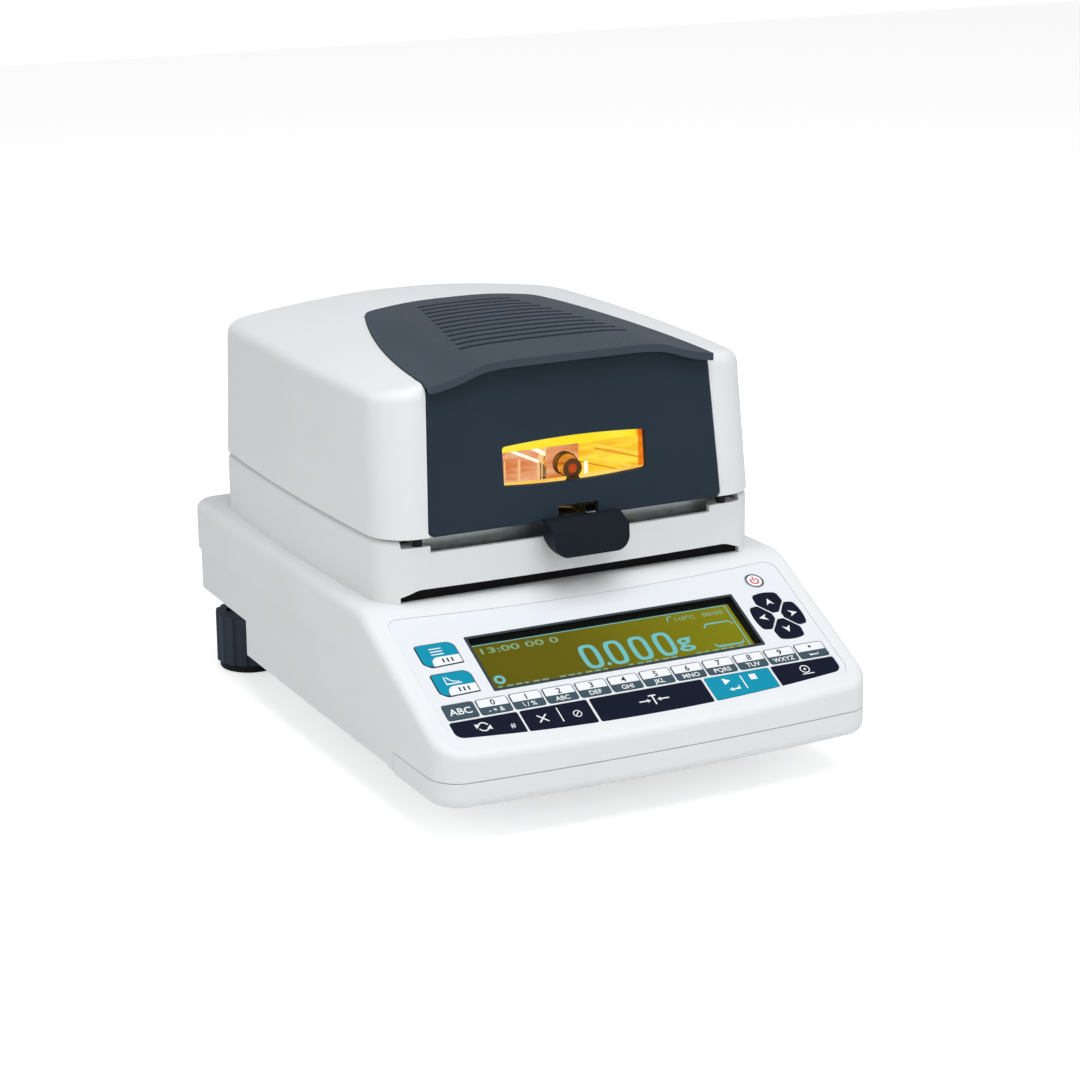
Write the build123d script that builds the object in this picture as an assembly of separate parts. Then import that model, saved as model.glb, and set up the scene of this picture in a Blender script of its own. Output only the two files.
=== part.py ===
from build123d import *
import os
from math import cos, radians, sin, sqrt, tan

# Moisture analyzer: a weighing chamber under a hinged heating hood, behind a sloped keypad.
# Millimetres. Origin under the middle of the object, X across, Y to the rear, Z up.

# Overall sizes
DEPTH = 323.0
CONSOLE_HALF = 110.0
CONSOLE_HALF_REAR = 107.5
FRONT_Y = -DEPTH / 2
CONNECTOR_REACH = 5.0
REAR_Y = DEPTH / 2 - CONNECTOR_REACH
DECK_Z = 88.2
WALL = 2.5
SEAM_Z = 33.0
SEAM_GAP = 0.4
SIDE_BOTTOM_Z = 24.0
BUMPER_BOTTOM_Z = 20.5
BUMPER_REAR_Y = -107.0

# Sloped keypad panel, with its own plane: s runs across, t runs up the slope
PANEL_TILT = 26.6
PANEL_Y = -116.0
PANEL_Z = 66.5
PANEL = Plane(
    origin=(0, PANEL_Y, PANEL_Z),
    x_dir=(1, 0, 0),
    z_dir=(0, -sin(radians(PANEL_TILT)), cos(radians(PANEL_TILT))),
)
POCKET_DEPTH = 1.8
FILM_RECESS = 0.2
KEY_THICKNESS = 1.35
KEY_GAP = 0.25

# Display
DISPLAY_W = 139.0
DISPLAY_T_TOP = 23.0
DISPLAY_T_BOTTOM = -12.3
LCD_DEPTH = 6.2

# Hood, frame and hinge
HOOD_Z = 118.5
HOOD_FRONT_Y = -74.0
HOOD_REAR_Y = 134.5
HOOD_HALF = 97.0
HOOD_BOW = 3.5
HOOD_LEAN = 0.11
FRAME_TOP_Z = 117.4
HINGE_Y = 141.0
HINGE_Z = 122.5
HINGE_R = 5.0
HINGE_PIN_R = 2.0
HINGE_BORE_R = 2.06
HINGE_X = 63.0
HINGE_LUG_W = 11.0
HINGE_EAR_W = 5.0
HINGE_EAR_GAP = 0.4

BUMPER_X = 79.0
BUMPER_Y = -68.6
BUMPER_R = 2.2
BUMPER_STEM_R = 1.4
FRAME_STEP_Z = 114.0
FRAME_STEP_HALF = 88.0
BRIM_DEPTH = 2.6
BRIM_BACK_Y = -68.0

# Chamber
CHAMBER_Y = 20.0
LINER_FLOOR_Z = 95.0
LINER_TOP_Z = 119.6
PAN_BOTTOM_Z = 109.0
PAN_RIM_R = 47.0
LAMP_Z = 141.0
LAMP_HOLDER_R = 5.0
SENSOR_X = 24.0
REFLECTOR_FRONT_Y = -58.0
REFLECTOR_REAR_Y = 108.0
REFLECTOR_POSTS = [(50.0, -40.0), (50.0, 90.0)]
REFLECTOR_POST_TOP_Z = 172.0
LIFTER_WIRE_R = 1.2
LIFTER_RING_R = 45.0
LIFTER_RING_Z = 112.2
LIFTER_ROD_X = 6.0
LIFTER_ROD_Z = 117.8
GRIP_HALF = 19.3
GRIP_FRONT_Y = -89.0
GRIP_BACK_Y = -76.4
GRIP_BOTTOM_Z = 104.2
SLOT_HALF = 10.3
SLOT_TOP_Z = 124.9

# Levelling feet
FOOT_X = 85.0
FOOT_Y = 134.5
FOOT_R = 17.6
FOOT_TOP_Z = 30.0
FOOT_PAD_Z = 4.0
STUD_R = 4.0
STUD_BORE_R = 4.06
STUD_TOP_Z = 54.0
NOTCH_Z = 42.0
NOTCH_X = 63.0
NOTCH_FRONT_Y = 80.0


def block(x0, x1, y0, y1, z0, z1):
    """A block between two corners."""
    centre = Pos((x0 + x1) / 2, (y0 + y1) / 2, (z0 + z1) / 2)
    return centre * Box(x1 - x0, y1 - y0, z1 - z0)


def prism(face, z0, z1):
    """A flat outline raised from z0 to z1."""
    return extrude(Pos(0, 0, z0) * face, amount=z1 - z0)


def across(profile, half):
    """A side outline, drawn in Y and Z, carried across from -half to half."""
    return extrude(Plane.YZ * profile, amount=half, both=True)


def closed_face(points):
    """A face inside a closed run of straight lines."""
    return make_face(Polyline(*points, close=True))


def panel_slab(face, top, bottom):
    """A panel outline in s and t, from top to bottom, measured out of the panel surface."""
    return PANEL * (Pos(0, 0, bottom) * extrude(face, amount=top - bottom))


def cylinder_between(x, y, z0, z1, radius):
    """An upright cylinder."""
    return Pos(x, y, (z0 + z1) / 2) * Cylinder(radius, z1 - z0)


def lengthwise(x, y0, y1, z, radius):
    """A cylinder that lies along Y."""
    return Pos(x, (y0 + y1) / 2, z) * Rot(90, 0, 0) * Cylinder(radius, y1 - y0)


def crosswise(x0, x1, y, z, radius):
    """A cylinder that lies along X."""
    return Pos((x0 + x1) / 2, y, z) * Rot(0, 90, 0) * Cylinder(radius, x1 - x0)


def both_sides(shape):
    """A shape and its mirror image on the other side."""
    return [shape, mirror(shape, about=Plane.YZ)]


# Console housings


def console_plan(inset):
    """The outline of the base seen from above: bowed front, large front corners."""
    front_x = CONSOLE_HALF - inset
    front_y = FRONT_Y + 4.5 + inset
    rear_x = CONSOLE_HALF_REAR - 0.6 - inset
    rear_y = REAR_Y - inset
    side_x = CONSOLE_HALF - inset
    edges = [
        ThreePointArc((-front_x, front_y), (0, FRONT_Y + inset), (front_x, front_y)),
        ThreePointArc((front_x, front_y), (side_x, -20), (rear_x, rear_y)),
        Line((rear_x, rear_y), (-rear_x, rear_y)),
        ThreePointArc((-rear_x, rear_y), (-side_x, -20), (-front_x, front_y)),
    ]
    face = make_face(edges)
    corners = face.vertices().sort_by(Axis.Y)
    face = fillet(corners[:2], 15.0 - inset)
    corners = [v for v in face.vertices() if v.Y > rear_y - 1]
    return fillet([v for v in corners if abs(v.X) > rear_x - 1], 13.0 - inset)


def console_side(drop, bottom_front, bottom_side):
    """The base seen from the side: front lip, sloped panel, flat deck."""
    slope = tan(radians(PANEL_TILT))
    panel_drop = drop / cos(radians(PANEL_TILT))
    lip_y = FRONT_Y - 10
    lip_z = PANEL_Z + slope * (lip_y - PANEL_Y) - panel_drop
    deck_z = DECK_Z - drop
    bend_y = PANEL_Y + (deck_z + panel_drop - PANEL_Z) / slope
    face = closed_face([
        (lip_y, bottom_front),
        (lip_y, lip_z),
        (bend_y, deck_z),
        (REAR_Y + 10, deck_z),
        (REAR_Y + 10, bottom_side),
        (BUMPER_REAR_Y, bottom_side),
        (BUMPER_REAR_Y, bottom_front),
    ])
    bend = [v for v in face.vertices() if abs(v.X - bend_y) < 0.1]
    return fillet(bend, 24.0)


def foot_notch(grow, top):
    """The room that is cut out of each rear corner for a levelling foot."""
    notch = block(NOTCH_X - grow, 130, NOTCH_FRONT_Y - grow, REAR_Y + 20, 0, top)
    inner_corner = notch.edges().filter_by(Axis.Z).sort_by(Axis.X)[:2].sort_by(Axis.Y)[0]
    return both_sides(fillet(inner_corner, 9.0 + grow))


def upper_form(inset, drop):
    """The solid form of the upper housing, smaller by inset at the walls and drop on top."""
    side = console_side(drop, SEAM_Z, SIDE_BOTTOM_Z)
    return prism(console_plan(inset), 0, 110) & across(side, 130)


def outline_edges(form):
    """The edges where the deck and the panel meet the walls."""
    tops = [f for f in form.faces() if f.normal_at(f.center()).Z > 0.8]
    edges = [e for f in tops for e in f.edges()]
    single = []
    for edge in edges:
        same = [e for e in edges if (e.center() - edge.center()).length < 0.01]
        if len(same) == 1:
            single.append(edge)
    return single


def side_recess():
    """The shallow step under the raised band of the side walls, sweeping down at the front."""
    band_z = 63.5
    face = closed_face([
        (170, 10), (170, band_z), (-62, band_z), (-84, 56), (-98, 38), (-104, 10),
    ])
    corners = [v for v in face.vertices() if -90 < v.X < -50]
    face = fillet(corners, 14.0)
    depth = 1.2
    return across(face, 130) - prism(console_plan(depth), 0, 110)


REAR_HOLES = {"power": (-36.0, 58.0), "serial": (10.0, 58.0), "usb": (42.0, 58.0)}


def rear_cutouts():
    """Holes in the rear wall for the power inlet, serial port and data port."""
    sizes = {"power": (27.4, 20.0), "serial": (20.0, 11.4), "usb": (12.4, 11.4)}
    holes = []
    for name, (x, z) in REAR_HOLES.items():
        w, h = sizes[name]
        holes.append(block(x - w / 2, x + w / 2, REAR_Y - 8, REAR_Y + 8, z - h / 2, z + h / 2))
    return holes


def overlay_outline(grow):
    """The keypad film's outline in s and t: top and bottom edges are shallow arcs."""
    half = 101.0 + grow
    top_end, top_mid = 41.2 + grow, 37.4 + grow
    low_end, low_mid = -38.0 - grow, -43.8 - grow
    edges = [
        ThreePointArc((-half, top_end), (0, top_mid), (half, top_end)),
        Line((half, top_end), (half, low_end)),
        ThreePointArc((half, low_end), (0, low_mid), (-half, low_end)),
        Line((-half, low_end), (-half, top_end)),
    ]
    return fillet(make_face(edges).vertices(), 6.0 + grow)


def display_outline(grow, radius):
    """The display opening in s and t."""
    height = DISPLAY_T_TOP - DISPLAY_T_BOTTOM
    middle = (DISPLAY_T_TOP + DISPLAY_T_BOTTOM) / 2
    return Pos(0, middle) * RectangleRounded(DISPLAY_W + 2 * grow, height + 2 * grow, radius)


def make_upper_shell():
    """Upper housing: sloped panel, deck, side walls with a raised band, rear wall."""
    outer = upper_form(0, 0) - foot_notch(0, NOTCH_Z)
    outer = fillet(outline_edges(outer), 4.5)
    inner = upper_form(WALL, 2.8) - foot_notch(WALL, NOTCH_Z + WALL)
    shell = outer - inner - side_recess()
    shell -= panel_slab(overlay_outline(0), 5, -POCKET_DEPTH)
    shell -= panel_slab(display_outline(1.2, 1.5), 5, -12)
    shell -= cylinder_between(0, CHAMBER_Y, DECK_Z - 10, DECK_Z + 5, 52)
    for hole in rear_cutouts():
        shell -= hole
    for x in (-FOOT_X, FOOT_X):
        shell += cylinder_between(x, FOOT_Y, NOTCH_Z, STUD_TOP_Z + 7, 8.5)
        shell -= cylinder_between(x, FOOT_Y, NOTCH_Z - 1, STUD_TOP_Z + 4, STUD_BORE_R)
    for x, y in SCREW_POSTS:
        post_top = 60.0 if y > 0 else 46.0
        post = cylinder_between(x, y, 36, post_top, 4.0)
        outward = 12.0 if x > 0 else -12.0
        tie = block(min(x, x + outward), max(x, x + outward), y - 1, y + 1, 40, post_top)
        shell += (post + tie) & upper_form(WALL / 2, 1.0)
        shell -= cylinder_between(x, y, 30, post_top - 3, 1.3)
    shell -= cylinder_between(0, LEVEL_Y, DECK_Z - 2, DECK_Z + 5, LEVEL_R)
    return shell


SCREW_POSTS = [(-96.0, -90.0), (96.0, -90.0), (-54.0, 146.0), (54.0, 146.0)]
LEVEL_Y = 147.5
LEVEL_R = 7.0
FRONT_FOOT_X = 66.0
FRONT_FOOT_Y = -64.0


def lower_form(inset, z0, z1):
    """The tray between two heights, with the rear corners cut away for the feet."""
    return prism(console_plan(inset), z0, z1) - foot_notch(WALL + SEAM_GAP + inset - 2.9, 200)


def make_lower_shell():
    """Lower housing: a tray inside the walls that comes out flush as the front bumper."""
    tray = lower_form(2.9, 22.5, 38)
    bumper = prism(console_plan(0), BUMPER_BOTTOM_Z, SEAM_Z - SEAM_GAP)
    bumper &= block(-130, 130, FRONT_Y - 5, BUMPER_REAR_Y - SEAM_GAP, 0, 60)
    bottom_edges = [
        e for e in bumper.edges()
        if abs(e.center().Z - BUMPER_BOTTOM_Z) < 0.01 and e.center().Y < BUMPER_REAR_Y - 1
    ]
    bumper = fillet(bottom_edges, 4.5)
    shell = tray + bumper
    shell -= lower_form(4.9, 25.0, 60)
    for x, y in SCREW_POSTS:
        shell += cylinder_between(x, y, 22.5, 35.8, 4.5)
        shell -= cylinder_between(x, y, 10, 60, 1.7)
        shell -= cylinder_between(x, y, 10, 29, 3.4)
    for x in (-FRONT_FOOT_X, FRONT_FOOT_X):
        shell += cylinder_between(x, FRONT_FOOT_Y, 18.0, 25.0, 11.0)
        shell -= cylinder_between(x, FRONT_FOOT_Y, 10.0, 20.0, 9.0)
    for x, y in LOAD_CELL_POSTS:
        shell += cylinder_between(x, y, 24.5, 34.0, 4.5)
    for x, y in BOARD_POSTS:
        shell += cylinder_between(x, y, 24.5, 30.0, 3.5)
    for y in (-20.0, 60.0, 95.0):
        shell += block(-58, 58, y - 1, y + 1, 24.5, 29.5)
    return shell


LOAD_CELL_POSTS = [(-26.0, -14.0), (26.0, -14.0), (-26.0, 54.0), (26.0, 54.0)]
BOARD_POSTS = [(-84.0, -126.0), (84.0, -126.0), (-84.0, -84.0), (84.0, -84.0)]


def make_front_feet():
    """Two fixed rubber feet under the front of the tray."""
    foot = cylinder_between(FRONT_FOOT_X, FRONT_FOOT_Y, 0, 20.0, 8.9)
    rim = foot.edges().filter_by(GeomType.CIRCLE).sort_by(Axis.Z)[0]
    return Compound(both_sides(fillet(rim, 1.5)))


def make_case_screws():
    """The screws that hold the two housings together from below."""
    screws = []
    for x, y in SCREW_POSTS:
        head = cylinder_between(x, y, 26.6, 28.9, 3.1)
        shank = cylinder_between(x, y, 28.9, 42.0, 1.25)
        screws.append(head + shank - Pos(x, y, 26.6) * Box(0.8, 4.2, 2.0))
    return Compound(screws)


# Keypad


NUMBER_KEY_T_TOP = -15.8
NUMBER_KEY_T_BOTTOM = -25.3
NUMBER_KEY_PITCH = 16.3
NUMBER_KEY_W = 15.0
NUMBER_KEY_NAMES = ["shift"] + [str(n) for n in range(10)] + ["point"]
LOWER_KEY_T_TOP = -26.7
LOWER_KEYS = {
    "return": (-97.6, -65.2),
    "reset": (-63.8, -31.0),
    "tare": (-29.4, 27.6),
    "start": (29.2, 62.8),
    "print": (64.4, 97.6),
}
LEFT_KEYS = {"menu": 7.6, "method": -11.2}
LEFT_KEY_X = -85.0
LEFT_KEY_W = 19.0
LEFT_KEY_H = 14.6
ARROW_X = 85.3
ARROW_T = 4.6
POWER_X = 85.4
POWER_T = 29.2
POWER_KEY_R = 4.6


def number_key_outline(index):
    """One key of the upper row, with a slightly rounded outline."""
    left = -NUMBER_KEY_PITCH * 6 + index * NUMBER_KEY_PITCH + (NUMBER_KEY_PITCH - NUMBER_KEY_W) / 2
    height = NUMBER_KEY_T_TOP - NUMBER_KEY_T_BOTTOM
    middle = (NUMBER_KEY_T_TOP + NUMBER_KEY_T_BOTTOM) / 2
    return Pos(left + NUMBER_KEY_W / 2, middle) * RectangleRounded(NUMBER_KEY_W, height, 1.2)


def lower_key_outline(left, right):
    """One key of the lower row: its lower edge lies on one long arc."""
    end_t, mid_t, half = -35.8, -41.4, 97.6
    sagitta = end_t - mid_t
    radius = (half * half + sagitta * sagitta) / (2 * sagitta)
    band = Rectangle(right - left, 30, align=(Align.MIN, Align.MAX))
    band = Pos(left, LOWER_KEY_T_TOP) * band
    disc = Pos(0, mid_t + radius) * Circle(radius)
    face = band & disc
    outer = [v for v in face.vertices() if v.Y < LOWER_KEY_T_TOP - 1 and abs(v.X) > half - 1]
    plain = [v for v in face.vertices() if not any(v is w for w in outer)]
    if outer:
        face = fillet(outer, 4.0)
        plain = [v for v in face.vertices() if v.Y > LOWER_KEY_T_TOP - 0.5]
    return fillet(plain, 0.8) if plain else face


def left_key_outline(bottom_t):
    """A two-word key of the left column, with two opposite corners swept round."""
    x0, x1 = LEFT_KEY_X - LEFT_KEY_W / 2, LEFT_KEY_X + LEFT_KEY_W / 2
    t0, t1 = bottom_t, bottom_t + LEFT_KEY_H
    face = closed_face([(x0, t0 + 3.0), (x0 + 3.2, t0), (x1, t0 + 0.6), (x1, t1), (x0, t1)])
    swept = [v for v in face.vertices() if v.X > x1 - 0.1 and v.Y > t1 - 0.1]
    face = fillet(swept, 4.0)
    swept = [v for v in face.vertices() if v.Y < t0 + 3.1 and v.X < LEFT_KEY_X]
    face = fillet(swept, 3.0)
    tight = [v for v in face.vertices() if v.X < x0 + 0.1 and v.Y > t1 - 0.1]
    return fillet(tight, 1.4)


def arrow_key_outline(turn):
    """One petal of the four-way pad."""
    upright = turn % 180 == 0
    reach = 15.9 if upright else 12.7
    wide = 7.0 if upright else 7.9
    shoulder = 9.2 if upright else 7.3
    tip = 2.4 if upright else 2.6
    nose = 1.5 if upright else 1.7
    face = make_face([
        Line((-nose, tip), (-wide, shoulder)),
        Line((-wide, shoulder), (-wide + 0.6, reach - 1.2)),
        ThreePointArc((-wide + 0.6, reach - 1.2), (0, reach), (wide - 0.6, reach - 1.2)),
        Line((wide - 0.6, reach - 1.2), (wide, shoulder)),
        Line((wide, shoulder), (nose, tip)),
        Line((nose, tip), (-nose, tip)),
    ])
    face = fillet([v for v in face.vertices() if v.Y > reach - 1.5], 2.0)
    face = fillet([v for v in face.vertices() if v.Y < tip + 0.1], 1.0)
    face = fillet([v for v in face.vertices() if abs(v.Y - shoulder) < 0.1], 2.0)
    return Pos(ARROW_X, ARROW_T) * Rot(0, 0, turn) * face


def key_outlines():
    """Every key of the pad, by name, as an outline in s and t."""
    outlines = {}
    for index, name in enumerate(NUMBER_KEY_NAMES):
        outlines["key_" + name] = number_key_outline(index)
    for name, (left, right) in LOWER_KEYS.items():
        outlines["key_" + name] = lower_key_outline(left, right)
    for name, bottom in LEFT_KEYS.items():
        outlines["key_" + name] = left_key_outline(bottom)
    for name, turn in {"up": 0, "left": 90, "down": 180, "right": 270}.items():
        outlines["key_" + name] = arrow_key_outline(turn)
    outlines["key_power"] = Pos(POWER_X, POWER_T) * Circle(POWER_KEY_R)
    return outlines


def make_key(outline):
    """One key: a low pad whose top stands just proud of the film."""
    body = panel_slab(outline, 0, -KEY_THICKNESS)
    top = body.faces().sort_by(lambda f: (f.center() - PANEL.origin).dot(PANEL.z_dir))[-1]
    return chamfer(top.edges(), 0.15)


def make_keypad_film(outlines):
    """The film that covers the panel, cut out round each key and the display."""
    film = panel_slab(overlay_outline(-0.15), -FILM_RECESS, -POCKET_DEPTH)
    for outline in outlines.values():
        film -= panel_slab(offset(outline, KEY_GAP), 1, -5)
    return film - panel_slab(display_outline(0.1, 0.6), 5, -20)


def make_display_bezel():
    """The dark frame set into the panel round the display, with a deep inner wall."""
    ring = panel_slab(display_outline(0, 0.5), 0, -LCD_DEPTH)
    flange = panel_slab(display_outline(3.0, 1.5), -3.1, -LCD_DEPTH)
    opening = panel_slab(display_outline(-1.3, 0.4), 1, -10)
    return ring + flange - opening


def make_display_window():
    """The clear window that lies in the bezel."""
    return panel_slab(display_outline(-1.35, 0.35), -1.0, -2.4)


def make_lcd_module():
    """The display module: glass cell in a metal frame on its own board."""
    height = DISPLAY_T_TOP - DISPLAY_T_BOTTOM
    middle = (DISPLAY_T_TOP + DISPLAY_T_BOTTOM) / 2
    frame = Pos(0, middle) * RectangleRounded(DISPLAY_W + 5.0, height + 5.0, 1.0)
    view = Pos(0, middle) * Rectangle(DISPLAY_W - 2.0, height - 2.0)
    board = Pos(0, middle) * Rectangle(DISPLAY_W + 11.0, height + 8.0)
    module = panel_slab(frame, -LCD_DEPTH - 0.05, -LCD_DEPTH - 5.0)
    module -= panel_slab(view, 0, -LCD_DEPTH - 0.7)
    return module + panel_slab(board, -LCD_DEPTH - 5.0, -LCD_DEPTH - 6.6)


# Base internals


def make_main_board():
    """The main circuit board on its four posts, with its larger components."""
    board = block(-90, 90, -132, -78, 30.0, 31.6)
    for x, y in BOARD_POSTS:
        board -= cylinder_between(x, y, 29, 33, 1.6)
    for x, y, w, d, h in (
        (-50, -110, 14, 14, 1.8), (-20, -96, 20, 8, 2.4), (20, -110, 12, 12, 1.8),
        (52, -100, 10, 18, 6.0), (-70, -88, 18, 6, 6.0), (0, -84, 30, 5, 6.5),
    ):
        board += block(x - w / 2, x + w / 2, y - d / 2, y + d / 2, 31.5, 31.6 + h)
    for x in (34, 68):
        board += cylinder_between(x, -90, 31.5, 42.0, 4.0)
    return board


def make_power_supply():
    """The supply board behind the weigh cell, with its transformer and capacitors."""
    board = block(-50, 50, 100, 140, 34.0, 35.6)
    board += block(-40, -4, 102, 131, 35.5, 64.0)
    board += block(10, 14, 106, 134, 35.5, 58.0)
    for x in (24, 40):
        board += cylinder_between(x, 112, 35.5, 56.0, 6.0)
    for x, y in ((-44, 104), (44, 104), (-44, 136), (44, 136)):
        board += cylinder_between(x, y, 25.0, 34.1, 2.5)
    return board


def make_load_cell():
    """The weigh cell: a block milled into a parallel guide, with its mounting feet."""
    cell = block(-18, 18, -20, 60, 40, 74)
    for z in (46.0, 68.0):
        cell -= block(-20, 20, -8, 48, z - 2.0, z + 2.0)
    cell -= block(-20, 20, 2, 38, 50, 64)
    cell += block(-18, 18, 16, 24, 49, 65)
    cell += cylinder_between(0, 31, 48.0, 60.0, 6.0)
    for x, y in LOAD_CELL_POSTS:
        cell += block(x - 6, x + 6, y - 5, y + 5, 34.0, 40.5)
        cell += block(min(x, 0), max(x, 0), y - 5, y + 5, 37.0, 41.0)
    return cell


def make_pan_carrier():
    """The carrier: a stem from the weigh cell with a four-armed cross for the pan."""
    stem = cylinder_between(0, CHAMBER_Y, 74.0, 107.0, 4.0)
    hub = cylinder_between(0, CHAMBER_Y, 105.0, PAN_BOTTOM_Z - 0.3, 8.0)
    collar = cylinder_between(0, CHAMBER_Y, 98.5, 100.0, 11.0)
    carrier = stem + hub + collar
    for turn in (45, 135):
        arm = Pos(0, CHAMBER_Y, PAN_BOTTOM_Z - 1.3) * Rot(0, 0, turn) * Box(72, 5, 2.0)
        carrier += arm
        for end in (-1, 1):
            peg = Pos(0, CHAMBER_Y, 0) * Rot(0, 0, turn) * Pos(end * 34, 0, PAN_BOTTOM_Z - 1.3)
            carrier += peg * Cylinder(3.4, 2.0)
    return carrier


# Weighing chamber


def hood_plan(inset, lift):
    """The hood's outline seen from above at a height above its lower edge."""
    lean = HOOD_LEAN * lift
    taper = 0.03 * lift
    front_y = HOOD_FRONT_Y + lean + inset
    rear_y = HOOD_REAR_Y - taper - inset
    half = HOOD_HALF - taper - inset
    mid_y = (front_y + rear_y) / 2
    edges = [
        Line((-half, front_y), (half, front_y)),
        ThreePointArc((half, front_y), (half + HOOD_BOW, mid_y), (half - 0.5, rear_y)),
        Line((half - 0.5, rear_y), (-half + 0.5, rear_y)),
        ThreePointArc((-half + 0.5, rear_y), (-half - HOOD_BOW, mid_y), (-half, front_y)),
    ]
    face = make_face(edges)
    corners = face.vertices().sort_by(Axis.Y)
    face = fillet(corners[:2], max(19.0 - inset, 8.0))
    corners = [v for v in face.vertices() if v.Y > rear_y - 0.5 and abs(v.X) > half - 2]
    return fillet(corners, max(14.0 - inset, 6.0))


def roof_section(y, grow, heights):
    """One cross-section of the roof, drawn at y, from its heights at the given widths."""
    widths = (105.0, 72.0, 58.0, 48.0, 40.0, 22.0)
    left = [(-x, z + grow) for x, z in zip(widths, heights)]
    right = [(x, z) for x, z in [(-x, z) for x, z in reversed(left)]]
    crown = [(0.0, heights[-1] + grow)]
    top = Spline(*(left + crown + right))
    low = 60.0
    edges = [
        top,
        Line(right[-1], (105.0, low)),
        Line((105.0, low), (-105.0, low)),
        Line((-105.0, low), left[0]),
    ]
    plane = Plane(origin=(0, y, 0), x_dir=(1, 0, 0), z_dir=(0, -1, 0))
    return plane * make_face(edges)


def roof_form(grow):
    """The body under the roof: gull-shaped at the front, a soft crown behind."""
    sections = [
        roof_section(-90, grow, (180.0, 186.0, 189.0, 192.5, 193.6, 193.8, 193.8)),
        roof_section(-40, grow, (181.2, 188.0, 190.8, 193.9, 195.3, 196.2, 196.4)),
        roof_section(40, grow, (182.0, 189.8, 192.4, 194.6, 195.9, 197.7, 198.2)),
        roof_section(150, grow, (181.0, 186.2, 187.4, 188.2, 188.7, 189.4, 189.6)),
    ]
    return loft(sections)


def hood_walls(inset, below):
    """The hood's walls as a solid, leaning back at the front, from a depth below its edge."""
    top = 82.0
    low = Pos(0, 0, HOOD_Z - below) * hood_plan(inset, -below)
    high = Pos(0, 0, HOOD_Z + top) * hood_plan(inset, top)
    return loft([low, high])


def cover_outline(grow):
    """The top cover's outline seen from above: narrow at the rear, flared to the brim."""
    rear_y = 62.0 + grow
    front_y = -72.6
    edges = [
        Line((-46.0 - grow, rear_y), (46.0 + grow, rear_y)),
        ThreePointArc((46.0 + grow, rear_y), (64.6 + grow, 0), (72.4 + grow, front_y)),
        Line((72.4 + grow, front_y), (-72.4 - grow, front_y)),
        ThreePointArc((-72.4 - grow, front_y), (-64.6 - grow, 0), (-46.0 - grow, rear_y)),
    ]
    face = make_face(edges)
    return fillet([v for v in face.vertices() if v.Y > rear_y - 1], 7.0)


def panel_trapezoid(grow):
    """The hood's dark front panel seen from the front."""
    low_half, high_half = 75.6 + grow, 71.4 + grow
    face = closed_face([
        (-low_half, HOOD_Z - grow), (low_half, HOOD_Z - grow),
        (high_half, 200), (-high_half, 200),
    ])
    corners = [v for v in face.vertices() if v.Y < HOOD_Z + 1]
    return fillet(corners, 3.0)


def front_slab(profile, out, thickness):
    """A front outline made into a plate that leans with the hood's front."""
    plane = Plane(origin=(0, 0, 0), x_dir=(1, 0, 0), z_dir=(0, -1, 0))
    bar = extrude(plane * profile, amount=120)
    y0 = HOOD_FRONT_Y - out - HOOD_LEAN * HOOD_Z
    low, high = 90.0, 215.0
    lean_band = closed_face([
        (y0 + HOOD_LEAN * low, low),
        (y0 + HOOD_LEAN * high, high),
        (y0 + HOOD_LEAN * high + thickness, high),
        (y0 + HOOD_LEAN * low + thickness, low),
    ])
    return bar & across(lean_band, 130)


def window_outline(grow):
    """The viewing window: a low barrel shape, seen from the front."""
    half = 37.0 + grow
    low, high, bow = 137.0 - grow, 155.2 + grow, 1.5
    face = make_face([
        ThreePointArc((-half, high), (0, high + bow), (half, high)),
        Line((half, high), (half, low)),
        ThreePointArc((half, low), (0, low - bow), (-half, low)),
        Line((-half, low), (-half, high)),
    ])
    return fillet(face.vertices(), 1.6)


def make_hood_shell():
    """The white hood: walls and roof, open below, with the front and the top cut out."""
    outer = hood_walls(0, 0) & roof_form(0)
    rim = [e for e in outer.edges() if e.center().Z > 170 and not is_sharp_break(e)]
    outer = fillet(rim, 6.5)
    inner = hood_walls(WALL, 5) & roof_form(-WALL)
    shell = outer - inner
    shell -= prism(cover_outline(0.4), 150, 230) & (roof_form(5) - roof_form(-1.6))
    shell -= prism(cover_outline(-3.0), 150, 230)
    shell -= front_slab(panel_trapezoid(0.35), 4, 16)
    for x in (-HINGE_X, HINGE_X):
        shell += hinge_lug(x)
    shell += both_sides(cylinder_between(BUMPER_X, BUMPER_Y, HOOD_Z + 0.1, HOOD_Z + 14.0, 4.0))
    return shell + reflector_bosses(REFLECTOR_POSTS[1], roof_form(-1.0))


def reflector_bosses(place, ceiling):
    """A pair of bosses that come down from the roof to the reflector's posts."""
    x, y = place
    boss = cylinder_between(x, y, REFLECTOR_POST_TOP_Z + 0.1, 205, 4.0)
    return both_sides(boss & ceiling)


def is_sharp_break(edge):
    """True for edges that run down the walls."""
    span = edge.bounding_box()
    return span.max.Z - span.min.Z > 12


def hinge_lug(x):
    """The hood's half of one hinge: a lug behind the rear wall, bored for the pin."""
    half = HINGE_LUG_W / 2
    rear = HOOD_REAR_Y
    web = closed_face([
        (rear - 1.5, HINGE_Z - 3.0), (HINGE_Y, HINGE_Z - HINGE_R), (HINGE_Y, HINGE_Z + HINGE_R),
        (rear - 2.0, HINGE_Z + 14.0),
    ])
    lug = Pos(x, 0, 0) * across(web, half)
    lug += crosswise(x - half, x + half, HINGE_Y, HINGE_Z, HINGE_R)
    return lug - crosswise(x - half - 1, x + half + 1, HINGE_Y, HINGE_Z, HINGE_BORE_R)


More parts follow.
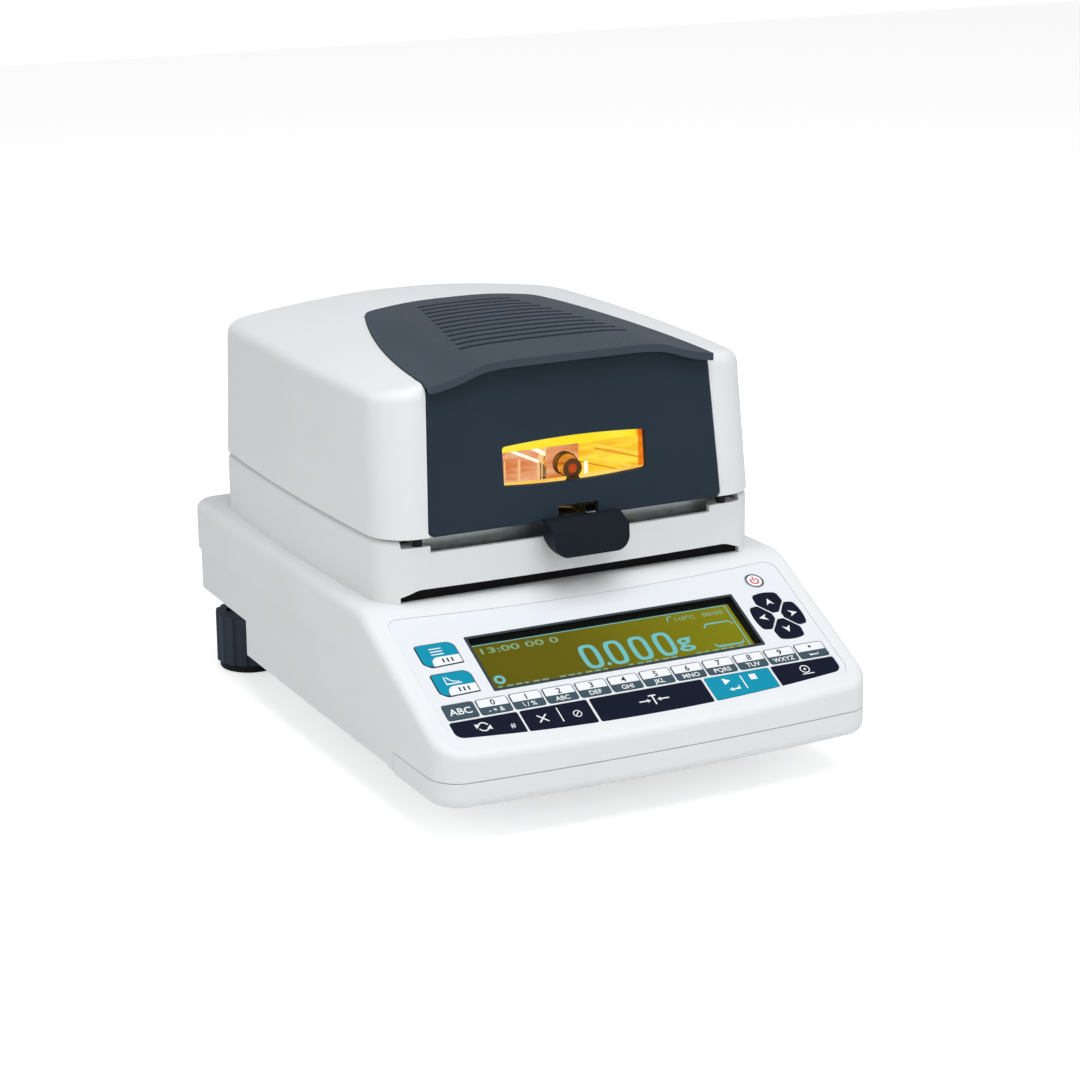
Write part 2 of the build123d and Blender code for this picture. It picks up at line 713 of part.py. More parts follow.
def make_front_panel():
    """The hood's dark front with its viewing window and the slot for the pan lifter."""
    plate = front_slab(panel_trapezoid(0), 0.8, 3.2)
    top_cut = roof_form(-2.6)
    plate &= top_cut
    outline = [
        e for e in plate.edges()
        if e.center().Y < HOOD_FRONT_Y + 8.0 and abs(e.center().X) > 60 and e.length > 30
    ]
    plate = fillet(outline, 1.0)
    plate -= front_slab(window_outline(0), 3, 10)
    slot = closed_face([
        (-SLOT_HALF, HOOD_Z - 2), (SLOT_HALF, HOOD_Z - 2),
        (SLOT_HALF, SLOT_TOP_Z), (-SLOT_HALF, SLOT_TOP_Z),
    ])
    return plate - front_slab(slot, 3, 10)


def make_window_pane():
    """The clear pane behind the window, with a margin all round."""
    return front_slab(window_outline(3.0), -2.45, 1.2)


GRILLE_SLOTS = 12
GRILLE_REAR_Y = 46.0
GRILLE_FRONT_Y = -41.0
GRILLE_REAR_HALF = 25.0
GRILLE_FRONT_HALF = 43.5


def make_top_cover():
    """The dark roof cover: a brim over the front panel and a tapered field of slots."""
    outline = prism(cover_outline(0), 150, 230)
    cover = outline & (roof_form(1.0) - roof_form(-1.2))
    brim = block(-80, 80, -75, BRIM_BACK_Y, 150, 230) & (roof_form(1.0) - roof_form(-BRIM_DEPTH))
    cover += outline & brim
    pitch = (GRILLE_REAR_Y - GRILLE_FRONT_Y) / (GRILLE_SLOTS - 1)
    for row in range(GRILLE_SLOTS):
        y = GRILLE_REAR_Y - row * pitch
        share = row / (GRILLE_SLOTS - 1)
        half = GRILLE_REAR_HALF + share * (GRILLE_FRONT_HALF - GRILLE_REAR_HALF)
        cover -= block(-half, half, y - 1.5, y + 1.5, 170, 220)
    return cover + reflector_bosses(REFLECTOR_POSTS[0], roof_form(0))


def make_reflector():
    """The folded metal reflector over the lamp: roof, sloping sides, rear wall, front bracket."""
    rear_y, front_y = REFLECTOR_REAR_Y, REFLECTOR_FRONT_Y
    outer = closed_face([(-66, 132), (-38, 168), (38, 168), (66, 132)])
    inner = closed_face([(-65.2, 131.5), (-37.5, 167.0), (37.5, 167.0), (65.2, 131.5)])
    plane = Plane(origin=(0, rear_y, 0), x_dir=(1, 0, 0), z_dir=(0, -1, 0))
    body = extrude(plane * outer, amount=rear_y - front_y)
    for x, y in REFLECTOR_POSTS + [(-x, y) for x, y in REFLECTOR_POSTS]:
        body += cylinder_between(x, y, 150, REFLECTOR_POST_TOP_Z, 3.0)
    hollow_plane = Plane(origin=(0, rear_y - 1, 0), x_dir=(1, 0, 0), z_dir=(0, -1, 0))
    body -= extrude(hollow_plane * inner, amount=rear_y - front_y + 5)
    body += block(-8, 8, front_y, front_y + 0.8, 133.0, 167.5)
    body -= cylinder_between(SENSOR_X, CHAMBER_Y, 160, 175, 1.8)
    return body - lengthwise(0, front_y - 4, rear_y + 4, LAMP_Z, LAMP_HOLDER_R + 0.2)


def make_lamp_tube():
    """The halogen heating lamp: a quartz tube with pinched ends."""
    tube = lengthwise(0, -46, 86, LAMP_Z, 4.6)
    for y0, y1 in ((-54, -46), (86, 94)):
        tube += block(-3.2, 3.2, y0, y1, LAMP_Z - 1.4, LAMP_Z + 1.4)
    return tube


def make_lamp_holders():
    """Two ceramic lamp holders, each through the reflector's end and with a flange inside it."""
    front_y, rear_y = REFLECTOR_FRONT_Y, REFLECTOR_REAR_Y
    ends = (
        (front_y - 6.0, -50.0, front_y + 1.1, -51.5, -50.0),
        (90.0, rear_y + 2.0, 98.0, rear_y - 1.3, 90.0),
    )
    holders = []
    for y0, y1, flange0, flange1, mouth in ends:
        holder = lengthwise(0, y0, y1, LAMP_Z, LAMP_HOLDER_R)
        holder += lengthwise(0, flange0, flange1, LAMP_Z, LAMP_HOLDER_R + 1.5)
        holder -= block(-3.25, 3.25, mouth - 4.2, mouth + 4.2, LAMP_Z - 1.45, LAMP_Z + 1.45)
        holder -= lengthwise(0, y0 - 1, y1 + 1, LAMP_Z, 1.2)
        holders.append(holder)
    return Compound(holders)


def make_temperature_sensor():
    """The temperature probe that reaches down beside the lamp."""
    rod = cylinder_between(SENSOR_X, CHAMBER_Y, 130, 169.0, 1.5)
    cap = cylinder_between(SENSOR_X, CHAMBER_Y, 168.0, 174.0, 4.0)
    return rod + cap


def frame_plan(inset, bow):
    """The chamber frame's outline seen from above: as the hood, with a bowed front."""
    half = HOOD_HALF - inset
    front_y = HOOD_FRONT_Y + 3.5 + inset
    rear_y = HOOD_REAR_Y - 0.5 - inset
    mid_y = (front_y + rear_y) / 2
    edges = [
        ThreePointArc((-half, front_y), (0, front_y - bow), (half, front_y)),
        ThreePointArc((half, front_y), (half + HOOD_BOW, mid_y), (half - 0.5, rear_y)),
        Line((half - 0.5, rear_y), (-half + 0.5, rear_y)),
        ThreePointArc((-half + 0.5, rear_y), (-half - HOOD_BOW, mid_y), (-half, front_y)),
    ]
    face = make_face(edges)
    corners = face.vertices().sort_by(Axis.Y)
    face = fillet(corners[:2], max(16.0 - inset, 5.0))
    corners = [v for v in face.vertices() if v.Y > rear_y - 0.5 and abs(v.X) > half - 2]
    return fillet(corners, max(14.0 - inset, 5.0))


def make_chamber_frame():
    """The white frame on the deck: it carries the hood and closes round the chamber."""
    bottom = DECK_Z
    outer = prism(frame_plan(0, 3.0), bottom, FRAME_TOP_Z)
    top_edges = [e for e in outer.edges() if abs(e.center().Z - FRAME_TOP_Z) < 0.01]
    outer = fillet(top_edges, 3.0)
    frame = outer - prism(frame_plan(WALL, 3.0), bottom - 1, FRAME_TOP_Z - WALL)
    frame -= block(-LINER_HALF, LINER_HALF, LINER_FRONT_Y, LINER_REAR_Y, 80, 130)
    frame -= front_step()
    arch = closed_face([(-88.5, 70), (-88.5, 91), (-80, 94), (80, 94), (88.5, 91), (88.5, 70)])
    arch = fillet([v for v in arch.vertices() if v.Y > 92], 12.0)
    arch_plane = Plane(origin=(0, -55, 0), x_dir=(1, 0, 0), z_dir=(0, -1, 0))
    frame -= extrude(arch_plane * arch, amount=60)
    frame += inner_skirt()
    frame += bumper_seats()
    for x in (-BUMPER_X, BUMPER_X):
        frame -= cylinder_between(x, BUMPER_Y, 106.0, 125.0, BUMPER_STEM_R + 0.1)
    for x in (-HINGE_X, HINGE_X):
        for side in (-1, 1):
            frame += hinge_ear(x + side * (HINGE_LUG_W + HINGE_EAR_W + 2 * HINGE_EAR_GAP) / 2)
        half = HINGE_LUG_W / 2 + HINGE_EAR_GAP
        frame -= crosswise(x - half, x + half, HINGE_Y, HINGE_Z, HINGE_R + 0.8)
    return frame


LINER_HALF = 84.0
LINER_FRONT_Y = -62.0
LINER_REAR_Y = 118.0


def front_step():
    """The lowered front edge of the frame, lowest between the two locating blocks."""
    half = FRAME_STEP_HALF
    corners = block(-half, half, -90, LINER_FRONT_Y, FRAME_STEP_Z, 130)
    middle = block(-74, 71, -90, LINER_FRONT_Y, 110.8, 130)
    return corners + middle


def bumper_seats():
    """Two solid corners that the hood's bumpers stand on."""
    seat = block(BUMPER_X - 4.0, FRAME_STEP_HALF + 1.0, -76, LINER_FRONT_Y, 104.0, FRAME_STEP_Z)
    seat &= prism(frame_plan(1.0, 3.0), DECK_Z, FRAME_TOP_Z)
    return both_sides(seat)


def make_hood_bumpers():
    """Two rubber bumpers that the closed hood comes down on."""
    top_z = HOOD_Z - 0.3
    bumper = cylinder_between(BUMPER_X, BUMPER_Y, FRAME_STEP_Z + 0.05, top_z, BUMPER_R)
    bumper = fillet([e for e in bumper.edges() if e.center().Z > top_z - 0.1], 0.7)
    bumper += cylinder_between(BUMPER_X, BUMPER_Y, 108.0, FRAME_STEP_Z + 1.0, BUMPER_STEM_R)
    return Compound([bumper, mirror(bumper, about=Plane.YZ)])


def inner_skirt():
    """Ribs that stand the frame on the deck and hold the liner."""
    ribs = []
    for y in (-30.0, 30.0, 90.0):
        ribs += both_sides(block(LINER_HALF + 0.6, CONSOLE_HALF, y - 1, y + 1, DECK_Z, 112.0))
    inside = prism(frame_plan(1.0, 3.0), DECK_Z, FRAME_TOP_Z)
    return [rib & inside for rib in ribs]


def hinge_ear(x):
    """One ear of a hinge on the frame, bored for the pin."""
    half = HINGE_EAR_W / 2
    wall = HOOD_REAR_Y - 1.0
    web = closed_face([
        (wall, 100.0), (wall + 2.2, 100.0), (HINGE_Y + HINGE_R, HINGE_Z - 2.0),
        (HINGE_Y, HINGE_Z), (wall + 2.2, HINGE_Z - 1.0), (wall + 2.2, 116.0), (wall, 116.0),
    ])
    ear = Pos(x, 0, 0) * across(web, half)
    ear += crosswise(x - half, x + half, HINGE_Y, HINGE_Z, HINGE_R)
    return ear - crosswise(x - half - 1, x + half + 1, HINGE_Y, HINGE_Z, HINGE_PIN_R)


def make_hinge_pins():
    """The two steel pins that the hood turns on."""
    reach = HINGE_LUG_W / 2 + HINGE_EAR_W + HINGE_EAR_GAP + 0.6
    pins = []
    for x in (-HINGE_X, HINGE_X):
        pins.append(crosswise(x - reach, x + reach, HINGE_Y, HINGE_Z, HINGE_PIN_R))
    return Compound(pins)


def make_chamber_liner():
    """The sheet-metal liner: a shallow tray with a collar round the carrier's stem."""
    sheet = 0.8
    gap = 0.3
    liner = liner_box(gap, LINER_FLOOR_Z, LINER_TOP_Z)
    liner -= liner_box(gap + sheet, LINER_FLOOR_Z + sheet, LINER_TOP_Z + 1)
    liner += cylinder_between(0, CHAMBER_Y, LINER_FLOOR_Z, LINER_FLOOR_Z + 2.5, 8.0)
    liner -= cylinder_between(0, CHAMBER_Y, LINER_FLOOR_Z - 1, LINER_FLOOR_Z + 5, 6.5)
    notch = block(-SLOT_HALF, SLOT_HALF, LINER_FRONT_Y - 2, LINER_FRONT_Y + 4, 116.2, 130)
    for x in (-70, 70):
        for y in (-50, 106):
            liner += cylinder_between(x, y, DECK_Z, LINER_FLOOR_Z + 0.1, 3.0)
    return liner - notch


def liner_box(inset, z0, z1):
    """The liner's box form with rounded upright corners."""
    width = 2 * (LINER_HALF - inset)
    length = LINER_REAR_Y - LINER_FRONT_Y - 2 * inset
    middle = (LINER_REAR_Y + LINER_FRONT_Y) / 2
    return prism(Pos(0, middle) * RectangleRounded(width, length, 6.0), z0, z1)


def make_draft_ring():
    """The ring that shields the pan from moving air."""
    ring = cylinder_between(0, CHAMBER_Y, LINER_FLOOR_Z + 0.8, 110.4, 52.0)
    ring -= cylinder_between(0, CHAMBER_Y, 90, 115, 50.5)
    ledge_top = LIFTER_RING_Z - LIFTER_WIRE_R - 0.3
    for turn in (30, 150, 270):
        ledge = Pos(47.0, 0, ledge_top - 0.6) * Box(8.0, 9.0, 1.2)
        ring += Pos(0, CHAMBER_Y, 0) * Rot(0, 0, turn) * ledge
    return ring


def make_sample_pan():
    """The thin aluminium sample pan: flat floor, flared wall, flat rim."""
    z = PAN_BOTTOM_Z
    profile = make_face(Polyline(
        (0, z), (37.6, z), (42.4, z + 5.6), (PAN_RIM_R, z + 5.6), (PAN_RIM_R, z + 6.2),
        (42.0, z + 6.2), (37.2, z + 0.6), (0, z + 0.6), close=True))
    return Pos(0, CHAMBER_Y, 0) * revolve(Plane.XZ * profile, Axis.Z)


def make_lifter_wire():
    """The lifter's bent wire: a ring under the pan's rim and two rods to the grip."""
    ring = Pos(0, CHAMBER_Y, LIFTER_RING_Z) * Torus(LIFTER_RING_R, LIFTER_WIRE_R)
    ring_y = CHAMBER_Y - sqrt(LIFTER_RING_R ** 2 - LIFTER_ROD_X ** 2)
    wire = ring
    for x in (-LIFTER_ROD_X, LIFTER_ROD_X):
        path = FilletPolyline(
            (x, -80.0, LIFTER_ROD_Z), (x, -58.0, LIFTER_ROD_Z),
            (x, ring_y - 8.0, LIFTER_RING_Z), (x, ring_y + 0.6, LIFTER_RING_Z), radius=5.0)
        start = Plane(origin=path @ 0, z_dir=path % 0)
        wire += sweep(start * Circle(LIFTER_WIRE_R), path=path)
    return wire


def make_lifter_grip():
    """The moulded grip in front of the chamber: a rounded scoop, hollow at the back."""
    outline = closed_face([
        (-GRIP_HALF, 121.0), (GRIP_HALF, 121.0),
        (GRIP_HALF, GRIP_BOTTOM_Z), (-GRIP_HALF, GRIP_BOTTOM_Z),
    ])
    outline = fillet([v for v in outline.vertices() if v.Y < GRIP_BOTTOM_Z + 1], 7.0)
    front = Plane(origin=(0, GRIP_BACK_Y, 0), x_dir=(1, 0, 0), z_dir=(0, -1, 0))
    body = extrude(front * outline, amount=GRIP_BACK_Y - GRIP_FRONT_Y)
    slope = closed_face([
        (GRIP_BACK_Y + 1, 113.0), (GRIP_BACK_Y + 1, 120.4), (GRIP_BACK_Y - 3, 120.4),
        (GRIP_FRONT_Y + 1.2, 117.0), (GRIP_FRONT_Y, GRIP_BOTTOM_Z - 1),
        (GRIP_FRONT_Y + 3.0, GRIP_BOTTOM_Z - 1),
    ])
    body &= across(slope, GRIP_HALF + 5)
    core = extrude(front * offset(outline, -2.6), amount=GRIP_BACK_Y - GRIP_FRONT_Y - 3.0)
    body -= core & block(-GRIP_HALF, GRIP_HALF, GRIP_FRONT_Y, GRIP_BACK_Y + 1, 100, 114.2)
    for x in (-LIFTER_ROD_X, LIFTER_ROD_X):
        body -= lengthwise(x, -80.0, -70.0, LIFTER_ROD_Z, LIFTER_WIRE_R)
    return body


# Rear wall fittings and feet


def make_power_inlet():
    """The three-pin mains inlet with its flange and fuse drawer."""
    x, z = REAR_HOLES["power"]
    body = block(x - 13.5, x + 13.5, REAR_Y - 22, REAR_Y + 0.1, z - 9.8, z + 9.8)
    flange = block(x - 15.5, x + 15.5, REAR_Y, REAR_Y + 2.0, z - 12.4, z + 12.4)
    flange = fillet(flange.edges().filter_by(Axis.Y), 2.0)
    socket_face = closed_face([
        (-12.0, -7.4), (12.0, -7.4), (12.0, 3.6), (8.2, 7.4), (-8.2, 7.4), (-12.0, 3.6),
    ])
    plane = Plane(origin=(x, REAR_Y + 3, z), x_dir=(-1, 0, 0), z_dir=(0, 1, 0))
    socket = extrude(plane * socket_face, amount=-20.0)
    inlet = body + flange - socket
    for pin_x, pin_z in ((-7.0, -1.8), (7.0, -1.8), (0.0, 2.2)):
        inlet += block(x + pin_x - 1.0, x + pin_x + 1.0, REAR_Y - 18, REAR_Y - 0.6,
                       z + pin_z - 2.0, z + pin_z + 2.0)
    return inlet


def make_serial_port():
    """The nine-pin serial port: plate, D-shaped shell and two jack posts."""
    x, z = REAR_HOLES["serial"]
    plate = block(x - 9.9, x + 9.9, REAR_Y - 12, REAR_Y + 0.1, z - 5.6, z + 5.6)
    flange = block(x - 15.4, x + 15.4, REAR_Y, REAR_Y + 0.8, z - 6.2, z + 6.2)
    flange = fillet(flange.edges().filter_by(Axis.Y), 1.5)
    d_face = closed_face([(-8.4, 4.2), (8.4, 4.2), (7.4, -4.2), (-7.4, -4.2)])
    d_face = fillet(d_face.vertices(), 1.6)
    plane = Plane(origin=(x, REAR_Y, z), x_dir=(-1, 0, 0), z_dir=(0, 1, 0))
    shell = extrude(plane * d_face, amount=4.6)
    shell -= extrude(plane * offset(d_face, -0.6), amount=6.0)
    port = plate + flange + shell
    for dx in (-12.5, 12.5):
        post = Plane(origin=(x + dx, REAR_Y, z), x_dir=(-1, 0, 0), z_dir=(0, 1, 0))
        port += extrude(post * RegularPolygon(2.6, 6), amount=CONNECTOR_REACH)
        port -= extrude(post * Circle(1.3), amount=CONNECTOR_REACH + 1)
    rows = ((1.4, (-5.6, -2.8, 0.0, 2.8, 5.6)), (-1.4, (-4.2, -1.4, 1.4, 4.2)))
    for pin_z, columns in rows:
        for pin_x in columns:
            port += lengthwise(x + pin_x, REAR_Y - 1, REAR_Y + 3.8, z + pin_z, 0.5)
    return port


def make_usb_port():
    """The square data port with its chamfered opening and tongue."""
    x, z = REAR_HOLES["usb"]
    body = block(x - 6.1, x + 6.1, REAR_Y - 14, REAR_Y + 0.6, z - 5.6, z + 5.6)
    mouth = closed_face([
        (-4.25, -3.9), (4.25, -3.9), (4.25, 2.3), (2.6, 3.9), (-2.6, 3.9), (-4.25, 2.3),
    ])
    plane = Plane(origin=(x, REAR_Y + 1, z), x_dir=(-1, 0, 0), z_dir=(0, 1, 0))
    body -= extrude(plane * mouth, amount=-10.0)
    return body + block(x - 2.8, x + 2.8, REAR_Y - 10, REAR_Y - 0.5, z - 1.6, z + 1.6)


def make_spirit_level():
    """The round bubble level let into the deck behind the hood."""
    cup = cylinder_between(0, LEVEL_Y, DECK_Z - 2.0, DECK_Z + 1.0, LEVEL_R - 0.1)
    cup -= cylinder_between(0, LEVEL_Y, DECK_Z - 0.8, DECK_Z + 2.0, LEVEL_R - 1.5)
    dome_r = 16.0
    dome = Pos(0, LEVEL_Y, DECK_Z + 1.2 - dome_r) * Sphere(dome_r)
    return cup + (dome & cylinder_between(0, LEVEL_Y, DECK_Z - 1.0, DECK_Z + 4, LEVEL_R - 1.4))


def make_foot_knob(x):
    """A levelling foot's fluted knob with its threaded stud."""
    knob = cylinder_between(x, FOOT_Y, FOOT_PAD_Z, FOOT_TOP_Z, FOOT_R)
    flutes = 16
    for step in range(flutes):
        angle = radians(step * 360 / flutes)
        knob -= cylinder_between(
            x + (FOOT_R + 1.6) * cos(angle), FOOT_Y + (FOOT_R + 1.6) * sin(angle),
            FOOT_PAD_Z - 1, FOOT_TOP_Z + 1, 2.6)
    knob -= cylinder_between(x, FOOT_Y, FOOT_TOP_Z - 2.0, FOOT_TOP_Z + 1, FOOT_R - 5.5)
    return knob + cylinder_between(x, FOOT_Y, FOOT_PAD_Z + 4, STUD_TOP_Z, STUD_R)


def make_foot_pad(x):
    """The rubber pad under a levelling foot: it stands still while the knob turns."""
    pad = cylinder_between(x, FOOT_Y, 0, FOOT_PAD_Z - 0.3, FOOT_R - 1.4)
    return fillet(pad.edges().filter_by(GeomType.CIRCLE).sort_by(Axis.Z)[0], 1.2)


def all_nodes():
    """Every piece of the analyzer by name."""
    outlines = key_outlines()
    nodes = {
        "upper_shell": make_upper_shell(),
        "lower_shell": make_lower_shell(),
        "front_feet": make_front_feet(),
        "case_screws": make_case_screws(),
        "keypad_film": make_keypad_film(outlines),
        "display_bezel": make_display_bezel(),
        "display_window": make_display_window(),
        "lcd_module": make_lcd_module(),
        "main_board": make_main_board(),
        "power_supply": make_power_supply(),
        "load_cell": make_load_cell(),
        "pan_carrier": make_pan_carrier(),
        "chamber_frame": make_chamber_frame(),
        "hood_bumpers": make_hood_bumpers(),
        "chamber_liner": make_chamber_liner(),
        "draft_ring": make_draft_ring(),
        "sample_pan": make_sample_pan(),
        "lifter_wire": make_lifter_wire(),
        "lifter_grip": make_lifter_grip(),
        "hood_shell": make_hood_shell(),
        "front_panel": make_front_panel(),
        "window_pane": make_window_pane(),
        "top_cover": make_top_cover(),
        "reflector": make_reflector(),
        "lamp_tube": make_lamp_tube(),
        "lamp_holders": make_lamp_holders(),
        "temperature_sensor": make_temperature_sensor(),
        "hinge_pins": make_hinge_pins(),
        "power_inlet": make_power_inlet(),
        "serial_port": make_serial_port(),
        "usb_port": make_usb_port(),
        "spirit_level": make_spirit_level(),
        "left_foot_knob": make_foot_knob(-FOOT_X),
        "left_foot_pad": make_foot_pad(-FOOT_X),
        "right_foot_knob": make_foot_knob(FOOT_X),
        "right_foot_pad": make_foot_pad(FOOT_X),
    }
    for name, outline in outlines.items():
        nodes[name] = make_key(outline)
    return nodes


os.makedirs("parts", exist_ok=True)
for node_name, shape in all_nodes().items():
    export_step(shape, f"parts/{node_name}.step")
    print(node_name, round(shape.volume, 1))
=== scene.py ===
# %% [markdown]
# # A moisture analyzer, dressed
# The instrument dries a small sample under a halogen lamp and weighs it all the while.
# Its housings, hinge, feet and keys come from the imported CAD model, which is the frame of
# this scene. Here they get their finishes, their printed legends and the lit display.

# %% Load the frame
import math

import bmesh
import bpy
from mathutils import Matrix, Vector


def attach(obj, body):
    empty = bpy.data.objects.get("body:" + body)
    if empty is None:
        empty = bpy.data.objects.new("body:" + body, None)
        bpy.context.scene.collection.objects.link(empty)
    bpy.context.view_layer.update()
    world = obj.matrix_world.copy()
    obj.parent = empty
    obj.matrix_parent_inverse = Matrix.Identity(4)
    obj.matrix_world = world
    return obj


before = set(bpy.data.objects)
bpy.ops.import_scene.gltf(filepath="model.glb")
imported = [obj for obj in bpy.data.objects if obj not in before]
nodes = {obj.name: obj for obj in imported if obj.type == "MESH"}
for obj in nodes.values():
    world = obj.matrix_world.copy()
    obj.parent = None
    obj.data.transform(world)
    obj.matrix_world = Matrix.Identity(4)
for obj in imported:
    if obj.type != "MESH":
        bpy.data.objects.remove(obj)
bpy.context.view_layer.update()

MM = 0.001
PANEL_TILT = math.radians(26.6)
PANEL_ORIGIN = Vector((0, -116.0, 66.5))
ACROSS = Vector((1, 0, 0))
UP_SLOPE = Vector((0, math.cos(PANEL_TILT), math.sin(PANEL_TILT)))
OUTWARD = Vector((0, -math.sin(PANEL_TILT), math.cos(PANEL_TILT)))

# %% [markdown]
# ## The camera
# The picture looks down on the keypad from the front and the left. A camera object turns
# best from a matrix whose columns are its right, up and backward directions, because a
# yaw, a pitch and a small roll can then be read one by one.

# %% Camera
CAMERA_MM = (-577.06, -1187.8, 462.91)
YAW = 0.4639
PITCH = 0.2761
ROLL = -0.0111
LENS_MM = 93.99


def camera_axes():
    """Right, up and forward of a camera that looks along +Y, turned by yaw, pitch and roll."""
    forward = Vector((
        math.sin(YAW) * math.cos(PITCH), math.cos(YAW) * math.cos(PITCH), -math.sin(PITCH)))
    right = Vector((math.cos(YAW), -math.sin(YAW), 0.0))
    up = right.cross(forward)
    c, s = math.cos(ROLL), math.sin(ROLL)
    return right * c + up * s, up * c - right * s, forward


right, up, forward = camera_axes()
camera_data = bpy.data.cameras.new("camera")
camera_data.lens = LENS_MM
camera_data.sensor_width = 36.0
camera_data.clip_end = 20.0
camera = bpy.data.objects.new("camera", camera_data)
bpy.context.scene.collection.objects.link(camera)
turn = Matrix((right, up, -forward)).transposed().to_4x4()
camera.matrix_world = Matrix.Translation(Vector(CAMERA_MM) * MM) @ turn
bpy.context.scene.camera = camera
bpy.context.scene.view_settings.view_transform = "Standard"
print("camera at", [round(v, 3) for v in camera.location])

# %% [markdown]
# ## Floor and light
# The instrument stands on a white floor. Soft boxes from above, the left and the front
# light it evenly, as in a product studio. Floor and background turn white for the camera
# through Light Path, so the lamps can stay low enough to keep the housing from clipping.

# %% Floor


def new_material(name):
    """A material with an empty Principled shader ready to be wired."""
    material = bpy.data.materials.new(name)
    material.use_nodes = True
    return material, material.node_tree.nodes, material.node_tree.links


def link_object(name, mesh):
    obj = bpy.data.objects.new(name, mesh)
    bpy.context.scene.collection.objects.link(obj)
    return obj


def white_to_camera(links, tree_nodes, shader, strength):
    """Adds white light that only the camera sees, directly or through glass."""
    path = tree_nodes.new("ShaderNodeLightPath")
    both = tree_nodes.new("ShaderNodeMath")
    both.operation = "MAXIMUM"
    links.new(path.outputs["Is Camera Ray"], both.inputs[0])
    links.new(path.outputs["Is Transmission Ray"], both.inputs[1])
    amount = tree_nodes.new("ShaderNodeMath")
    amount.operation = "MULTIPLY"
    amount.inputs[1].default_value = strength
    links.new(both.outputs[0], amount.inputs[0])
    links.new(amount.outputs[0], shader)


FLOOR_HALF = 3.0
floor_mesh = bpy.data.meshes.new("floor")
floor_mesh.from_pydata(
    [(-FLOOR_HALF, -FLOOR_HALF, 0), (FLOOR_HALF, -FLOOR_HALF, 0),
     (FLOOR_HALF, FLOOR_HALF, 0), (-FLOOR_HALF, FLOOR_HALF, 0)], [], [(0, 1, 2, 3)])
floor = link_object("floor", floor_mesh)
floor_material, tree, links = new_material("floor_white")
floor_shader = tree["Principled BSDF"]
floor_shader.inputs["Base Color"].default_value = (0.85, 0.85, 0.85, 1)
floor_shader.inputs["Roughness"].default_value = 0.7
floor_shader.inputs["Emission Color"].default_value = (1, 1, 1, 1)
white_to_camera(links, tree, floor_shader.inputs["Emission Strength"], 0.55)
floor_mesh.materials.append(floor_material)

# %% World and soft boxes
world = bpy.data.worlds.new("studio")
bpy.context.scene.world = world
world.use_nodes = True
tree, links = world.node_tree.nodes, world.node_tree.links
background = tree["Background"]
background.inputs["Color"].default_value = (1, 1, 1, 1)
ambient = tree.new("ShaderNodeMath")
ambient.operation = "MAXIMUM"
ambient.inputs[1].default_value = 0.44
white_to_camera(links, tree, ambient.inputs[0], 1.0)
links.new(ambient.outputs[0], background.inputs["Strength"])


def soft_box(name, place, aim, size, power):
    """An area lamp at a place, turned to face a point."""
    lamp = bpy.data.lights.new(name, "AREA")
    lamp.shape = "SQUARE"
    lamp.size = size
    lamp.energy = power
    obj = bpy.data.objects.new(name, lamp)
    bpy.context.scene.collection.objects.link(obj)
    obj.location = place
    obj.rotation_euler = (Vector(aim) - Vector(place)).to_track_quat("-Z", "Y").to_euler()


soft_box("top_box", (0.0, -0.55, 1.5), (0, -0.05, 0.1), 1.2, 16.0)
soft_box("left_box", (-1.5, -0.3, 0.8), (0, 0, 0.12), 1.0, 4.4)
soft_box("front_box", (0.3, -1.7, 0.7), (0, 0, 0.1), 1.0, 4.5)
print("lamps placed")

# %% [markdown]
# ## Moulded plastics
# The white housing is ABS with a fine spark texture: small soft bumps and a sheen that
# varies a little. Noise driving a bump node gives that grain in object space, so it is as
# fine on a wall as on the lid and needs no unwrapping. Dark parts get less shine, which
# keeps them dark under the wide lamps.

# %% Plastics


def noise(tree, links, scale, detail=2.0, roughness=0.5):
    """A noise texture laid out in the object's own metres."""
    place = tree.new("ShaderNodeTexCoord")
    texture = tree.new("ShaderNodeTexNoise")
    texture.inputs["Scale"].default_value = scale
    texture.inputs["Detail"].default_value = detail
    texture.inputs["Roughness"].default_value = roughness
    links.new(place.outputs["Object"], texture.inputs["Vector"])
    return texture


def colour_between(tree, links, factor, dark, light, low=0.35, high=0.65):
    """A colour that goes from dark to light as the factor goes from low to high."""
    ramp = tree.new("ShaderNodeValToRGB")
    ramp.color_ramp.elements[0].position = low
    ramp.color_ramp.elements[0].color = (*dark, 1)
    ramp.color_ramp.elements[1].position = high
    ramp.color_ramp.elements[1].color = (*light, 1)
    links.new(factor, ramp.inputs["Fac"])
    return ramp


def spread(tree, links, factor, low, high):
    """A number that follows the factor between two values."""
    scale = tree.new("ShaderNodeMapRange")
    scale.inputs["From Min"].default_value = 0.3
    scale.inputs["From Max"].default_value = 0.7
    scale.inputs["To Min"].default_value = low
    scale.inputs["To Max"].default_value = high
    links.new(factor, scale.inputs["Value"])
    return scale


def bumps(tree, links, height, strength, distance):
    bump = tree.new("ShaderNodeBump")
    bump.inputs["Strength"].default_value = strength
    bump.inputs["Distance"].default_value = distance
    links.new(height, bump.inputs["Height"])
    return bump


